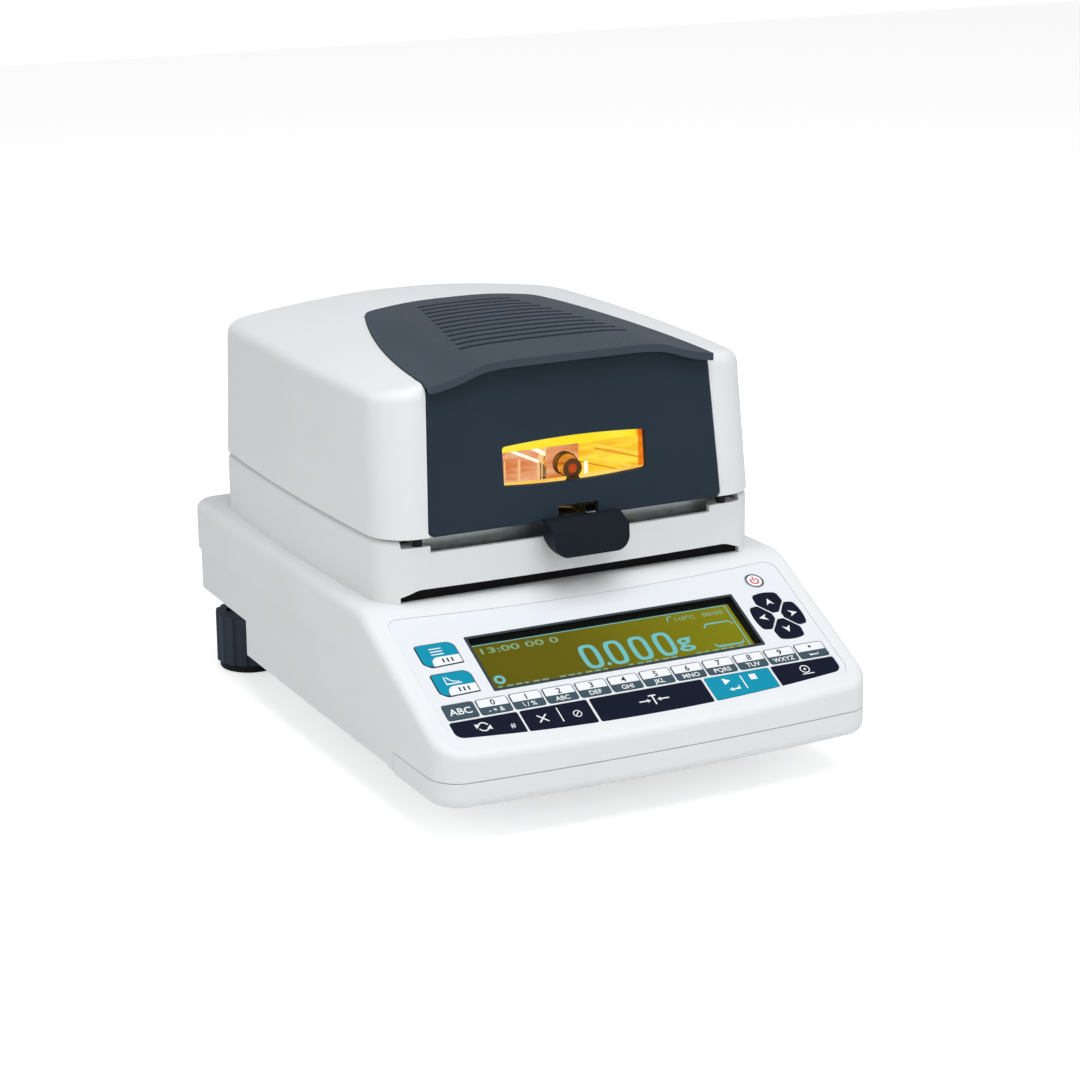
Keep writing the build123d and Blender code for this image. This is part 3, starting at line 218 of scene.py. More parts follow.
def moulded_plastic(name, colour, variation, grain, roughness, relief, shine=0.5):
    """Textured plastic: slow colour drift, fine grain in the relief and in the sheen."""
    material, tree, links = new_material(name)
    shader = tree["Principled BSDF"]
    drift = noise(tree, links, 14.0, 3.0)
    dark = tuple(c * (1 - variation) for c in colour)
    light = tuple(min(c * (1 + variation), 1.0) for c in colour)
    ramp = colour_between(tree, links, drift.outputs["Fac"], dark, light)
    links.new(ramp.outputs["Color"], shader.inputs["Base Color"])
    fine = noise(tree, links, grain, 3.0, 0.6)
    sheen = spread(tree, links, fine.outputs["Fac"], roughness - 0.06, roughness + 0.08)
    links.new(sheen.outputs["Result"], shader.inputs["Roughness"])
    relief_node = bumps(tree, links, fine.outputs["Fac"], relief, 0.00015)
    links.new(relief_node.outputs["Normal"], shader.inputs["Normal"])
    shader.inputs["IOR"].default_value = 1.5
    shader.inputs["Specular IOR Level"].default_value = shine
    return material


white_plastic = moulded_plastic("white_plastic", (0.735, 0.76, 0.775), 0.012, 1500.0, 0.52, 0.25)
frame_plastic = moulded_plastic("frame_plastic", (0.735, 0.76, 0.765), 0.012, 1500.0, 0.5, 0.25)
slate_plastic = moulded_plastic("slate_plastic", (0.018, 0.030, 0.046), 0.06, 1300.0, 0.55, 0.5, 0.12)
# The top cover is coloured lighter than the front panel's slate: painted light from above on its
# upward face.
cover_plastic_painted_light = moulded_plastic("cover_plastic_painted_light", (0.040, 0.056, 0.077), 0.06, 1300.0, 0.5, 0.55, 0.2)
grip_plastic = moulded_plastic("grip_plastic", (0.007, 0.011, 0.018), 0.06, 1300.0, 0.5, 0.5, 0.12)
knob_plastic = moulded_plastic("knob_plastic", (0.028, 0.043, 0.064), 0.08, 900.0, 0.55, 0.5, 0.2)
foot_rubber = moulded_plastic("foot_rubber", (0.012, 0.013, 0.016), 0.15, 700.0, 0.75, 0.7, 0.2)
connector_plastic = moulded_plastic(
    "connector_plastic", (0.012, 0.012, 0.013), 0.1, 900.0, 0.45, 0.4, 0.25)
print("plastics made")

# %% [markdown]
# ## Metals
# The liner and the reflector are rolled sheet, the weigh cell is milled and the lifter is
# drawn wire. All of them are metallic shaders whose roughness is stretched noise, which
# reads as the direction of rolling or drawing.

# %% Metals


def brushed_metal(name, colour, roughness, stretch, scale):
    """Metal with fine lines: noise that is stretched along the grain."""
    material, tree, links = new_material(name)
    shader = tree["Principled BSDF"]
    shader.inputs["Metallic"].default_value = 1.0
    place = tree.new("ShaderNodeTexCoord")
    mapping = tree.new("ShaderNodeMapping")
    mapping.inputs["Scale"].default_value = stretch
    links.new(place.outputs["Object"], mapping.inputs["Vector"])
    lines = tree.new("ShaderNodeTexNoise")
    lines.inputs["Scale"].default_value = scale
    lines.inputs["Detail"].default_value = 4.0
    links.new(mapping.outputs["Vector"], lines.inputs["Vector"])
    shade = colour_between(
        tree, links, lines.outputs["Fac"], tuple(c * 0.88 for c in colour), colour)
    links.new(shade.outputs["Color"], shader.inputs["Base Color"])
    sheen = spread(tree, links, lines.outputs["Fac"], roughness - 0.08, roughness + 0.12)
    links.new(sheen.outputs["Result"], shader.inputs["Roughness"])
    relief = bumps(tree, links, lines.outputs["Fac"], 0.2, 0.00008)
    links.new(relief.outputs["Normal"], shader.inputs["Normal"])
    return material


sheet_metal = brushed_metal("sheet_metal", (0.50, 0.55, 0.55), 0.38, (1, 14, 1), 300.0)
polished_sheet = brushed_metal("polished_sheet", (0.86, 0.84, 0.78), 0.22, (1, 12, 1), 260.0)
pan_metal = brushed_metal("pan_metal", (0.80, 0.81, 0.82), 0.3, (10, 1, 1), 380.0)
milled_metal = brushed_metal("milled_metal", (0.72, 0.73, 0.74), 0.35, (1, 10, 1), 420.0)
wire_steel = brushed_metal("wire_steel", (0.50, 0.50, 0.49), 0.32, (1, 6, 6), 700.0)
bright_steel = brushed_metal("bright_steel", (0.55, 0.55, 0.56), 0.3, (1, 8, 1), 700.0)

# %% [markdown]
# ## Circuit boards
# Solder mask is a dark green lacquer over copper tracks. A brick texture gives the
# straight, right-angled pattern of tracks well enough for parts that a cover hides.

# %% Boards


def board_lacquer(name):
    material, tree, links = new_material(name)
    shader = tree["Principled BSDF"]
    place = tree.new("ShaderNodeTexCoord")
    tracks = tree.new("ShaderNodeTexBrick")
    tracks.inputs["Scale"].default_value = 120.0
    tracks.inputs["Color1"].default_value = (0.01, 0.10, 0.035, 1)
    tracks.inputs["Color2"].default_value = (0.012, 0.13, 0.045, 1)
    tracks.inputs["Mortar"].default_value = (0.03, 0.2, 0.08, 1)
    tracks.inputs["Mortar Size"].default_value = 0.03
    links.new(place.outputs["Object"], tracks.inputs["Vector"])
    links.new(tracks.outputs["Color"], shader.inputs["Base Color"])
    shader.inputs["Roughness"].default_value = 0.35
    return material


board_green = board_lacquer("board_green")

# %% [markdown]
# ## Printed film and keys
# The keypad is a screen-printed polyester film over the panel, embossed at each key. Its
# face is satin, with a very fine pebble. Each ink is the same film finish in its own
# colour, so one function makes them all.

# %% Film inks


def film_ink(name, colour, roughness=0.38, shine=0.5):
    material, tree, links = new_material(name)
    shader = tree["Principled BSDF"]
    pebble = noise(tree, links, 2200.0, 2.0)
    shade = colour_between(
        tree, links, pebble.outputs["Fac"], tuple(c * 0.97 for c in colour), colour)
    links.new(shade.outputs["Color"], shader.inputs["Base Color"])
    sheen = spread(tree, links, pebble.outputs["Fac"], roughness - 0.05, roughness + 0.06)
    links.new(sheen.outputs["Result"], shader.inputs["Roughness"])
    relief = bumps(tree, links, pebble.outputs["Fac"], 0.15, 0.00005)
    links.new(relief.outputs["Normal"], shader.inputs["Normal"])
    shader.inputs["Specular IOR Level"].default_value = shine
    return material


ink_white = film_ink("ink_white", (0.74, 0.77, 0.81), 0.4, 0.2)
ink_print = film_ink("ink_print", (0.80, 0.82, 0.84), 0.45, 0.2)
ink_navy = film_ink("ink_navy", (0.0022, 0.0052, 0.020), 0.4, 0.1)
ink_slate = film_ink("ink_slate", (0.045, 0.082, 0.106), 0.42, 0.12)
ink_teal = film_ink("ink_teal", (0.0, 0.265, 0.40), 0.42, 0.12)
ink_dark = film_ink("ink_dark", (0.014, 0.024, 0.038), 0.42, 0.12)
ink_red = film_ink("ink_red", (0.62, 0.03, 0.035), 0.42, 0.2)

# %% [markdown]
# ## Display
# The display is a graphic glass with a yellow-green backlight behind a dark, deep bezel.
# The backlight is emission that grows from left to right, as on the real one. The bezel
# changes at the panel's surface: slate on its rim, and black down the inside as painted
# shade in the deep recess.

# %% Backlight and bezel


def backlit_glass():
    material, tree, links = new_material("display_backlight")
    shader = tree["Principled BSDF"]
    place = tree.new("ShaderNodeTexCoord")
    split = tree.new("ShaderNodeSeparateXYZ")
    links.new(place.outputs["Object"], split.inputs["Vector"])
    ramp = tree.new("ShaderNodeMapRange")
    ramp.inputs["From Min"].default_value = -0.07
    ramp.inputs["From Max"].default_value = 0.07
    links.new(split.outputs["X"], ramp.inputs["Value"])
    shade = tree.new("ShaderNodeValToRGB")
    shade.color_ramp.elements[0].position = 0.0
    shade.color_ramp.elements[0].color = (0.120, 0.104, 0.001, 1)
    shade.color_ramp.elements[1].position = 1.0
    shade.color_ramp.elements[1].color = (0.235, 0.235, 0.003, 1)
    middle = shade.color_ramp.elements.new(0.35)
    middle.color = (0.135, 0.115, 0.001, 1)
    links.new(ramp.outputs["Result"], shade.inputs["Fac"])
    links.new(shade.outputs["Color"], shader.inputs["Emission Color"])
    shader.inputs["Emission Strength"].default_value = 1.0
    shader.inputs["Base Color"].default_value = (0.006, 0.006, 0.002, 1)
    shader.inputs["Specular IOR Level"].default_value = 0.0
    return material


def glowing(name, colour, strength=1.0):
    """A lit part: emission with a faint grain."""
    material, tree, links = new_material(name)
    shader = tree["Principled BSDF"]
    grain = noise(tree, links, 900.0, 1.0)
    shade = colour_between(
        tree, links, grain.outputs["Fac"], tuple(c * 0.94 for c in colour), colour)
    links.new(shade.outputs["Color"], shader.inputs["Emission Color"])
    shader.inputs["Emission Strength"].default_value = strength
    shader.inputs["Base Color"].default_value = (0.01, 0.01, 0.01, 1)
    shader.inputs["Specular IOR Level"].default_value = 0.0
    return material


def clear_sheet(name, colour, alpha, roughness=0.04, shine=0.5):
    """Clear plastic or glass, kept thin: mostly see-through, with a gloss on top."""
    material, tree, links = new_material(name)
    shader = tree["Principled BSDF"]
    shader.inputs["Base Color"].default_value = (*colour, 1)
    haze = noise(tree, links, 60.0, 2.0)
    sheen = spread(tree, links, haze.outputs["Fac"], roughness, roughness + 0.04)
    links.new(sheen.outputs["Result"], shader.inputs["Roughness"])
    shader.inputs["Alpha"].default_value = alpha
    shader.inputs["IOR"].default_value = 1.45
    shader.inputs["Specular IOR Level"].default_value = shine
    return material


RIM_DEPTH = 0.25


def bezel_finish():
    """Slate on the rim's top, black down the inside as painted shade: split by height over the panel.
    """
    material, tree, links = new_material("bezel_finish")
    shader = tree["Principled BSDF"]
    place = tree.new("ShaderNodeTexCoord")
    height = tree.new("ShaderNodeVectorMath")
    height.operation = "DOT_PRODUCT"
    height.inputs[1].default_value = OUTWARD
    links.new(place.outputs["Object"], height.inputs[0])
    on_top = tree.new("ShaderNodeMath")
    on_top.operation = "GREATER_THAN"
    on_top.inputs[1].default_value = (PANEL_ORIGIN.dot(OUTWARD) - RIM_DEPTH) * MM
    links.new(height.outputs["Value"], on_top.inputs[0])
    pick = tree.new("ShaderNodeMix")
    pick.data_type = "RGBA"
    pick.inputs["A"].default_value = (0.0015, 0.0016, 0.002, 1)
    pick.inputs["B"].default_value = (0.040, 0.055, 0.063, 1)
    links.new(on_top.outputs[0], pick.inputs["Factor"])
    links.new(pick.outputs["Result"], shader.inputs["Base Color"])
    grain = noise(tree, links, 1400.0, 2.0)
    sheen = spread(tree, links, grain.outputs["Fac"], 0.34, 0.46)
    links.new(sheen.outputs["Result"], shader.inputs["Roughness"])
    shader.inputs["Specular IOR Level"].default_value = 0.04
    return material


backlight = backlit_glass()
lit_pixels = glowing("lit_pixels", (0.17, 0.56, 0.57))
pale_pixels = glowing("pale_pixels", (0.24, 0.42, 0.22))
bezel_plastic_painted_shade = bezel_finish()
display_clear = clear_sheet("display_clear", (0.12, 0.13, 0.14), 0.02, 0.04, 0.0)
level_clear = clear_sheet("level_clear", (0.55, 0.62, 0.25), 0.35)
print("display finishes made")

# %% [markdown]
# ## Finishes on the CAD nodes
# A CAD node keeps its mesh, so only its material slots change. The table goes from a
# finish to the nodes that carry it, and a check says if one has been left out.

# %% Dress the nodes
FINISHES = [
    (white_plastic, ["upper_shell", "lower_shell", "hood_shell"]),
    (frame_plastic, ["chamber_frame"]),
    (slate_plastic, ["front_panel"]),
    (cover_plastic_painted_light, ["top_cover"]),
    (grip_plastic, ["lifter_grip"]),
    (knob_plastic, ["left_foot_knob", "right_foot_knob"]),
    (foot_rubber, ["front_feet", "left_foot_pad", "right_foot_pad", "hood_bumpers"]),
    (connector_plastic, ["power_inlet"]),
    (sheet_metal, ["chamber_liner", "draft_ring"]),
    (polished_sheet, ["reflector"]),
    (pan_metal, ["sample_pan"]),
    (milled_metal, ["load_cell", "pan_carrier"]),
    (wire_steel, ["lifter_wire", "temperature_sensor"]),
    (bright_steel, ["serial_port", "usb_port", "hinge_pins", "case_screws"]),
    (board_green, ["main_board", "power_supply"]),
    (ink_white, ["keypad_film"]),
    (bezel_plastic_painted_shade, ["display_bezel"]),
    (backlight, ["lcd_module"]),
    (display_clear, ["display_window"]),
    (level_clear, ["spirit_level"]),
    (ink_slate, ["key_shift"] + [f"key_{n}" for n in range(10)] + ["key_point"]),
    (ink_dark, ["key_menu", "key_method"]),
    (ink_navy, ["key_return", "key_reset", "key_tare", "key_print",
                "key_up", "key_left", "key_down", "key_right"]),
    (ink_teal, ["key_start"]),
    (ink_print, ["key_power"]),
]


def dress(node, material):
    """Gives a CAD node one finish in every slot."""
    slots = nodes[node].data.materials
    if not slots:
        slots.append(material)
    for index in range(len(slots)):
        slots[index] = material


for material, names in FINISHES:
    for name in names:
        dress(name, material)
dressed = {name for _, names in FINISHES for name in names}
print("not yet dressed:", sorted(set(nodes) - dressed))

# %% [markdown]
# ## Drawing on the sloped panel
# Every legend lies on one plane, so it is easiest to draw it flat, in millimetres across
# and up the slope, and then to carry it there with one matrix. A print is a very thin
# solid: an outline that is filled and given a small thickness.

# %% Panel plane and flat shapes
PRINT_MM = 0.03


def panel_matrix(height):
    """From flat millimetres to the panel, in metres, at a height above its surface."""
    turn = Matrix((ACROSS, UP_SLOPE, OUTWARD)).transposed().to_4x4()
    lift = Matrix.Translation((PANEL_ORIGIN + OUTWARD * height) * MM)
    return lift @ turn @ Matrix.Scale(MM, 4)


def add_plate(mesh, points, thickness, low):
    """Adds one filled outline with a thickness to a bmesh, in flat millimetres."""
    bottom = [mesh.verts.new((x, y, low)) for x, y in points]
    top = [mesh.verts.new((x, y, low + thickness)) for x, y in points]
    mesh.faces.new(top)
    mesh.faces.new(list(reversed(bottom)))
    count = len(points)
    for i in range(count):
        j = (i + 1) % count
        mesh.faces.new((bottom[i], bottom[j], top[j], top[i]))


def arc(cx, cy, radius, start, end, steps=10):
    """Points on an arc, in degrees."""
    points = []
    for i in range(steps + 1):
        angle = math.radians(start + (end - start) * i / steps)
        points.append((cx + radius * math.cos(angle), cy + radius * math.sin(angle)))
    return points


def rounded_box(x0, x1, y0, y1, radii):
    """A box outline, its corner radii from lower left, anticlockwise."""
    corners = ((x0, y0, 1, 1, 180), (x1, y0, -1, 1, 270), (x1, y1, -1, -1, 0), (x0, y1, 1, -1, 90))
    points = []
    for (x, y, sx, sy, start), radius in zip(corners, radii):
        if radius > 0:
            points += arc(x + sx * radius, y + sy * radius, radius, start, start + 90, 6)
        else:
            points.append((x, y))
    return points


def stroke(points, width):
    """A line of even width through points, as an outline with mitred joints."""
    left, right_side = [], []
    for i, (x, y) in enumerate(points):
        before = points[max(i - 1, 0)]
        after = points[min(i + 1, len(points) - 1)]
        direction = Vector((after[0] - before[0], after[1] - before[1])).normalized()
        reach = width / 2
        if 0 < i < len(points) - 1:
            first = Vector((x - before[0], y - before[1])).normalized()
            reach /= max(first.dot(direction), 0.5)
        left.append((x - direction.y * reach, y + direction.x * reach))
        right_side.append((x + direction.y * reach, y - direction.x * reach))
    return right_side + list(reversed(left))


def set_down(name, mesh, place, material, body):
    """Turns a bmesh into a piece at its place, in one finish, riding on a body."""
    data = bpy.data.meshes.new(name)
    mesh.to_mesh(data)
    mesh.free()
    data.transform(place)
    data.materials.append(material)
    piece = link_object(name, data)
    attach(piece, body)


def plates(outlines, thickness, low=0.0):
    """A bmesh of filled outlines that all have one thickness."""
    mesh = bmesh.new()
    for outline in outlines:
        add_plate(mesh, outline, thickness, low)
    bmesh.ops.recalc_face_normals(mesh, faces=mesh.faces)
    return mesh


def flat_piece(name, outlines, material, body, height, thickness=PRINT_MM):
    """A printed piece made of outlines in panel millimetres, riding on a body."""
    set_down(name, plates(outlines, thickness), panel_matrix(height), material, body)


# %% [markdown]
# ## Lettering
# Digits come from Blender's own font: a text curve is filled and given a thickness, turned
# into a mesh and laid on the panel with the same matrix as the drawn shapes. A small
# offset of the curve makes the strokes bolder.

# %% Text helper


def text_piece(name, lines, material, body, height, bold=0.0):
    """Text laid on the panel. Each line is its words, centre x, base y, size and width.

    A width of 0 leaves the line as wide as the font makes it.
    """
    merged = bmesh.new()
    for words, x, y, size, width in lines:
        curve = bpy.data.curves.new(name + "_curve", "FONT")
        curve.body = words
        curve.size = size
        curve.align_x = "CENTER"
        curve.resolution_u = 3
        curve.extrude = PRINT_MM / 2
        curve.offset = bold
        holder = link_object(name + "_curve", curve)
        bpy.context.view_layer.update()
        mesh = holder.to_mesh()
        spans = [v.co.x for v in mesh.vertices]
        wide = max(spans) - min(spans)
        squeeze = width / wide if width else 1.0
        place = Matrix.Translation((x, y, PRINT_MM / 2)) @ Matrix.Diagonal((squeeze, 1, 1, 1))
        copy = bpy.data.meshes.new(name + "_part")
        part = bmesh.new()
        part.from_mesh(mesh)
        part.transform(place)
        part.to_mesh(copy)
        part.free()
        merged.from_mesh(copy)
        holder.to_mesh_clear()
        bpy.data.objects.remove(holder)
        bpy.data.curves.remove(curve)
        bpy.data.meshes.remove(copy)
    set_down(name, merged, panel_matrix(height), material, body)


# %% [markdown]
# ## Number keys
# Each number key is outlined in slate, white above with a dark digit, and slate below with
# small white letters, as on a telephone. The node itself is the slate; the white part is
# a plate printed on it, which leaves the thin outline round it.

# %% Number keys
KEY_PITCH = 16.3
KEY_W = 15.0
KEY_TOP = -15.8
KEY_BOTTOM = -25.3
KEY_SPLIT = -20.9
KEY_EDGE = 0.35
SHIFT_INDEX = 0
POINT_INDEX = 11
LETTERS = ["- + &", "\\ / %", "ABC", "DEF", "GHI", "JKL", "MNO", "PQRS", "TUV", "WXYZ"]


def key_centre(index):
    return -KEY_PITCH * 6 + (index + 0.5) * KEY_PITCH


def number_key(name, index, digit, letters):
    """The prints on one number key."""
    x = key_centre(index)
    half = KEY_W / 2 - KEY_EDGE
    white = rounded_box(x - half, x + half, KEY_SPLIT, KEY_TOP - KEY_EDGE, (0, 0, 0.9, 0.9))
    flat_piece(f"print_{name}_white", [white], ink_print, name, 0.0)
    if digit:
        text_piece(f"print_{name}_digit", [(digit, x, KEY_SPLIT + 0.75, 4.6, 0)],
                   ink_dark, name, PRINT_MM, 0.09)
    if letters:
        text_piece(f"print_{name}_letters", [(letters, x, KEY_BOTTOM + 0.8, 3.7, 0)],
                   ink_print, name, 0.0, 0.05)


for digit in range(10):
    number_key(f"key_{digit}", digit + 1, str(digit), LETTERS[digit])
number_key("key_point", POINT_INDEX, "", "")
point_x = key_centre(POINT_INDEX)
dot = arc(point_x, -18.3, 0.75, 0, 342, 19)
flat_piece("print_key_point_dot", [dot], ink_dark, "key_point", PRINT_MM)
space_bar = stroke([(point_x - 2.2, -22.6), (point_x - 2.2, -23.5),
                    (point_x + 2.2, -23.5), (point_x + 2.2, -22.6)], 0.45)
flat_piece("print_key_point_space", [space_bar], ink_print, "key_point", 0.0)
text_piece("print_key_shift", [("ABC", key_centre(SHIFT_INDEX), -22.6, 5.4, 10.8)],
           ink_print, "key_shift", 0.0, 0.08)
print("number keys printed")

# %% [markdown]
# ## Lower row
# Five wide keys carry white symbols: two curved arrows, a struck-out ring, the arrow that
# stands for zeroing a scale, the return arrow with start and stop marks, and a ring on a
# line. Symbols say what a word would, and they belong to no maker.

# %% Lower row


def ring(cx, cy, outer, inner, start=0.0, end=360.0, steps=28):
    """A ring or part of one, as an outline that runs out and back."""
    return arc(cx, cy, outer, start, end, steps) + arc(cx, cy, inner, end, start, steps)


def arrow_head(x, y, length, half, angle):
    """A solid arrow head with its tip at a point."""
    c, s = math.cos(math.radians(angle)), math.sin(math.radians(angle))
    points = [(0, 0), (-length, half), (-length, -half)]
    return [(x + c * px - s * py, y + s * px + c * py) for px, py in points]


ROW_MID = -32.0
turn_x = -83.5
cycle = [
    ring(turn_x, ROW_MID, 2.75, 2.1, 20, 160, 14),
    ring(turn_x, ROW_MID, 2.75, 2.1, 200, 340, 14),
    arrow_head(turn_x - 3.4, ROW_MID - 0.7, 2.6, 1.3, 250),
    arrow_head(turn_x + 3.4, ROW_MID + 0.7, 2.6, 1.3, 70),
]
flat_piece("print_key_return", cycle, ink_print, "key_return", 0.0)
text_piece("print_key_return_mark", [("#", -70.2, -35.6, 4.2, 0)],
           ink_print, "key_return", 0.0)
bar = stroke([(-46.6, -28.4), (-46.6, -37.2)], 0.55)
struck = [ring(-38.5, -34.0, 2.1, 1.65), stroke([(-39.8, -35.3), (-37.2, -32.7)], 0.45)]
cross = [stroke([(-57.4, -35.4), (-53.0, -31.0)], 0.7),
         stroke([(-57.4, -31.0), (-53.0, -35.4)], 0.7)]
flat_piece("print_key_reset", [bar] + struck + cross, ink_print, "key_reset", 0.0)
zero_arrows = [
    stroke([(-7.5, -34.0), (-2.6, -34.0)], 0.7), arrow_head(-1.6, -34.0, 1.8, 1.15, 0),
    stroke([(7.5, -34.0), (2.6, -34.0)], 0.7), arrow_head(1.6, -34.0, 1.8, 1.15, 180),
    stroke([(0, -31.2), (0, -36.8)], 0.75),
    stroke([(-1.9, -31.2), (1.9, -31.2)], 0.75),
]
flat_piece("print_key_tare", zero_arrows, ink_print, "key_tare", 0.0)
start_marks = [
    arrow_head(41.0, -30.6, 3.6, 2.0, 0),
    stroke([(47.0, -28.6), (47.0, -37.0)], 0.6),
    rounded_box(51.2, 54.6, -32.3, -28.9, (0.3, 0.3, 0.3, 0.3)),
    stroke([(43.4, -34.2), (43.4, -36.0), (39.6, -36.0)], 0.6),
    arrow_head(37.8, -36.0, 2.2, 1.15, 180),
]
flat_piece("print_key_start", start_marks, ink_print, "key_start", 0.0)
ring_mark = [ring(80.0, -31.6, 2.5, 1.95), arc(80.0, -31.6, 0.65, 0, 330, 11),
             stroke([(77.4, -34.7), (83.6, -34.7)], 0.5)]
flat_piece("print_key_print", ring_mark, ink_print, "key_print", 0.0)
print("lower row printed")

# %% [markdown]
# ## Left keys, arrows and power
# The two left keys are teal with a white tab that sweeps up from the lower edge, inside a
# dark outline. The arrow pad has white darts. The power key is a white disc in a dark
# ring with the usual red mark.

# %% Left keys
LEFT_X = -85.0
LEFT_HALF = 9.5
LEFT_H = 14.6
MENU_LOW = 7.6
METHOD_LOW = -11.2


def left_key(name, low, marks):
    """Teal field, white tab and marks on one left key."""
    x0, x1 = LEFT_X - LEFT_HALF, LEFT_X + LEFT_HALF
    e = 0.35
    teal = [(x0 + e, low + 4.6)]
    teal += arc(x0 + 3.9, low + 4.3, 3.9 - e, 190, 262, 8)
    teal += [(x0 + 6.0, low + e + 0.05)]
    teal += [(x1 - e, low + 0.6 + e)]
    teal += arc(x1 - 4.0, low + LEFT_H - 4.0, 4.0 - e, 0, 90, 10)
    teal += arc(x0 + 1.4, low + LEFT_H - 1.4, 1.4 - e, 90, 180, 5)
    flat_piece(f"print_{name}_teal", [teal], ink_teal, name, 0.0)
    tab = [(x1 - e, low + 0.6 + e), (x1 - e, low + 5.9)]
    tab += [(x0 + 8.2, low + 5.9)]
    tab += arc(x0 + 8.2, low + 2.4, 3.5, 90, 172, 8)
    tab += [(x0 + 4.6, low + e + 0.05)]
    flat_piece(f"print_{name}_tab", [tab], ink_print, name, PRINT_MM)
    flat_piece(f"print_{name}_mark", marks(low), ink_print, name, PRINT_MM)
    ticks = [LEFT_X + 0.5 + i * 2.2 for i in range(3)]
    dark = [stroke([(x, low + 2.0), (x, low + 4.6)], 0.8) for x in ticks]
    flat_piece(f"print_{name}_dark", dark, ink_dark, name, 2 * PRINT_MM)


def list_marks(low):
    """Three short lines: a menu."""
    lines = [low + y for y in (7.6, 9.4, 11.2)]
    return [stroke([(LEFT_X - 3.5, y), (LEFT_X + 2.5, y)], 0.6) for y in lines]


def curve_marks(low):
    """A falling curve on two axes: a drying method."""
    corner_x, corner_y = LEFT_X - 4.0, low + 7.4
    axes = stroke([(corner_x, low + 12.0), (corner_x, corner_y), (LEFT_X + 3.4, corner_y)], 0.5)
    fall = [(LEFT_X - 3.0 + i * 0.7, low + 8.0 + 3.8 * math.exp(-i / 2.6)) for i in range(9)]
    return [axes, stroke(fall, 0.55)]


left_key("key_menu", MENU_LOW, list_marks)
left_key("key_method", METHOD_LOW, curve_marks)

# %% Arrows and power mark
ARROW_X = 85.3
ARROW_T = 4.6
ARROWS = [("up", 0, 9.4), ("left", 90, 8.0), ("down", 180, 9.4), ("right", 270, 8.0)]
POWER_X = 85.4
POWER_T = 29.2
ALL_ROUND = 359.9


def dart(reach, turn):
    """A white dart on one petal of the arrow pad."""
    points = [(0, 2.3), (2.1, -2.0), (0.1, -0.7), (-2.1, -2.0)]
    moved = [(x, y + reach) for x, y in points]
    c, s = math.cos(math.radians(turn)), math.sin(math.radians(turn))
    return [(ARROW_X + c * x - s * y, ARROW_T + s * x + c * y) for x, y in moved]


for way, turn_deg, reach in ARROWS:
    key = f"key_{way}"
    flat_piece(f"print_{key}", [dart(reach, turn_deg)], ink_print, key, 0.0)
power_ring = ring(POWER_X, POWER_T, 4.5, 3.8, 0, ALL_ROUND, 40)
flat_piece("print_key_power_ring", [power_ring], ink_dark, "key_power", 0.0)
power_mark = [ring(POWER_X, POWER_T - 0.2, 2.2, 1.5, 125, 415, 26),
              stroke([(POWER_X, POWER_T), (POWER_X, POWER_T + 2.8)], 0.7)]
flat_piece("print_key_power_mark", power_mark, ink_red, "key_power", 0.0)
print("left keys, arrows and power printed")

# %% [markdown]
# ## What the display shows
# A large weight in grams, as a balance at rest shows it, and small readouts round it. The
# large digits are drawn as rounded loops, a little thicker at the sides, the way a graphic
# display draws them. All of it lies just over the backlight.

# %% Display content
GLASS_TOP = -4.9
GLASS_BOTTOM = -6.8
GLASS_HALF = 67.9
BIG_MID = 3.0
BIG_HALF = 7.7
BIG_X = [-13.1, -0.3, 12.4, 25.0]
BAR_PITCH = 4.4
BAR_GAPS = (6, 13, 14, 21, 22)
SQUARENESS = 0.62


def loop(cx, cy, half_w, half_h, side, cap):
    """A rounded zero: the band between two stretched ovals, thicker at its sides."""
    outer, inner = [], []
    for i in range(37):
        angle = math.radians(i * 10)
        across = abs(math.cos(angle)) ** SQUARENESS * (1 if math.cos(angle) >= 0 else -1)
        upward = abs(math.sin(angle)) ** SQUARENESS * (1 if math.sin(angle) >= 0 else -1)
        outer.append((cx + half_w * across, cy + half_h * upward))
        inner.append((cx + (half_w - side) * across, cy + (half_h - cap) * upward))
    return outer + list(reversed(inner))


glass = rounded_box(-GLASS_HALF, GLASS_HALF, -10.9, 21.5, (0.4,) * 4)
flat_piece("display_glass", [glass], backlight, "base",
           GLASS_BOTTOM, GLASS_TOP - GLASS_BOTTOM)
big = [loop(x, BIG_MID, 4.75, BIG_HALF, 2.35, 1.75) for x in BIG_X]
big.append(arc(-6.6, -3.3, 1.0, 0, 342, 19))
flat_piece("display_digits", big, lit_pixels, "base", GLASS_TOP)
text_piece("display_unit", [("g", 35.0, -0.8, 12.4, 8.2)],
           lit_pixels, "base", GLASS_TOP, 0.18)
small_lines = [
    ("13:00 00 0", -43.8, 15.4, 5.0, 39.0),
    ("110°C", 42.4, 16.0, 3.6, 10.4),
    ("00:00", 57.6, 16.0, 3.6, 11.0),
]
text_piece("display_small", small_lines, pale_pixels, "base", GLASS_TOP, 0.06)
marks = [
    ring(-61.3, -1.7, 2.75, 1.35),
    stroke([(-67.6, 21.2), (66.2, 21.2)], 0.45),
    stroke([(65.8, 21.2), (65.8, -9.6)], 0.5),
    stroke([(48.8, 8.7), (50.6, 10.9), (62.6, 10.9), (64.4, 8.7)], 0.7),
    stroke([(48.8, -2.4), (50.2, -4.2), (62.8, -4.2), (64.2, -2.6)], 0.8),
    stroke([(33.4, 16.4), (34.4, 19.4), (36.4, 19.4)], 0.5),
]
flat_piece("display_marks", marks, lit_pixels, "base", GLASS_TOP)
bars = []
for i in range(29):
    x = -64.0 + i * BAR_PITCH
    long = 3.2 if i % 3 else 2.2
    if i not in BAR_GAPS:
        bars.append(rounded_box(x, x + long, -6.9, -5.6, (0, 0, 0, 0)))
flat_piece("display_bars", bars, pale_pixels, "base", GLASS_TOP)
print("display drawn")
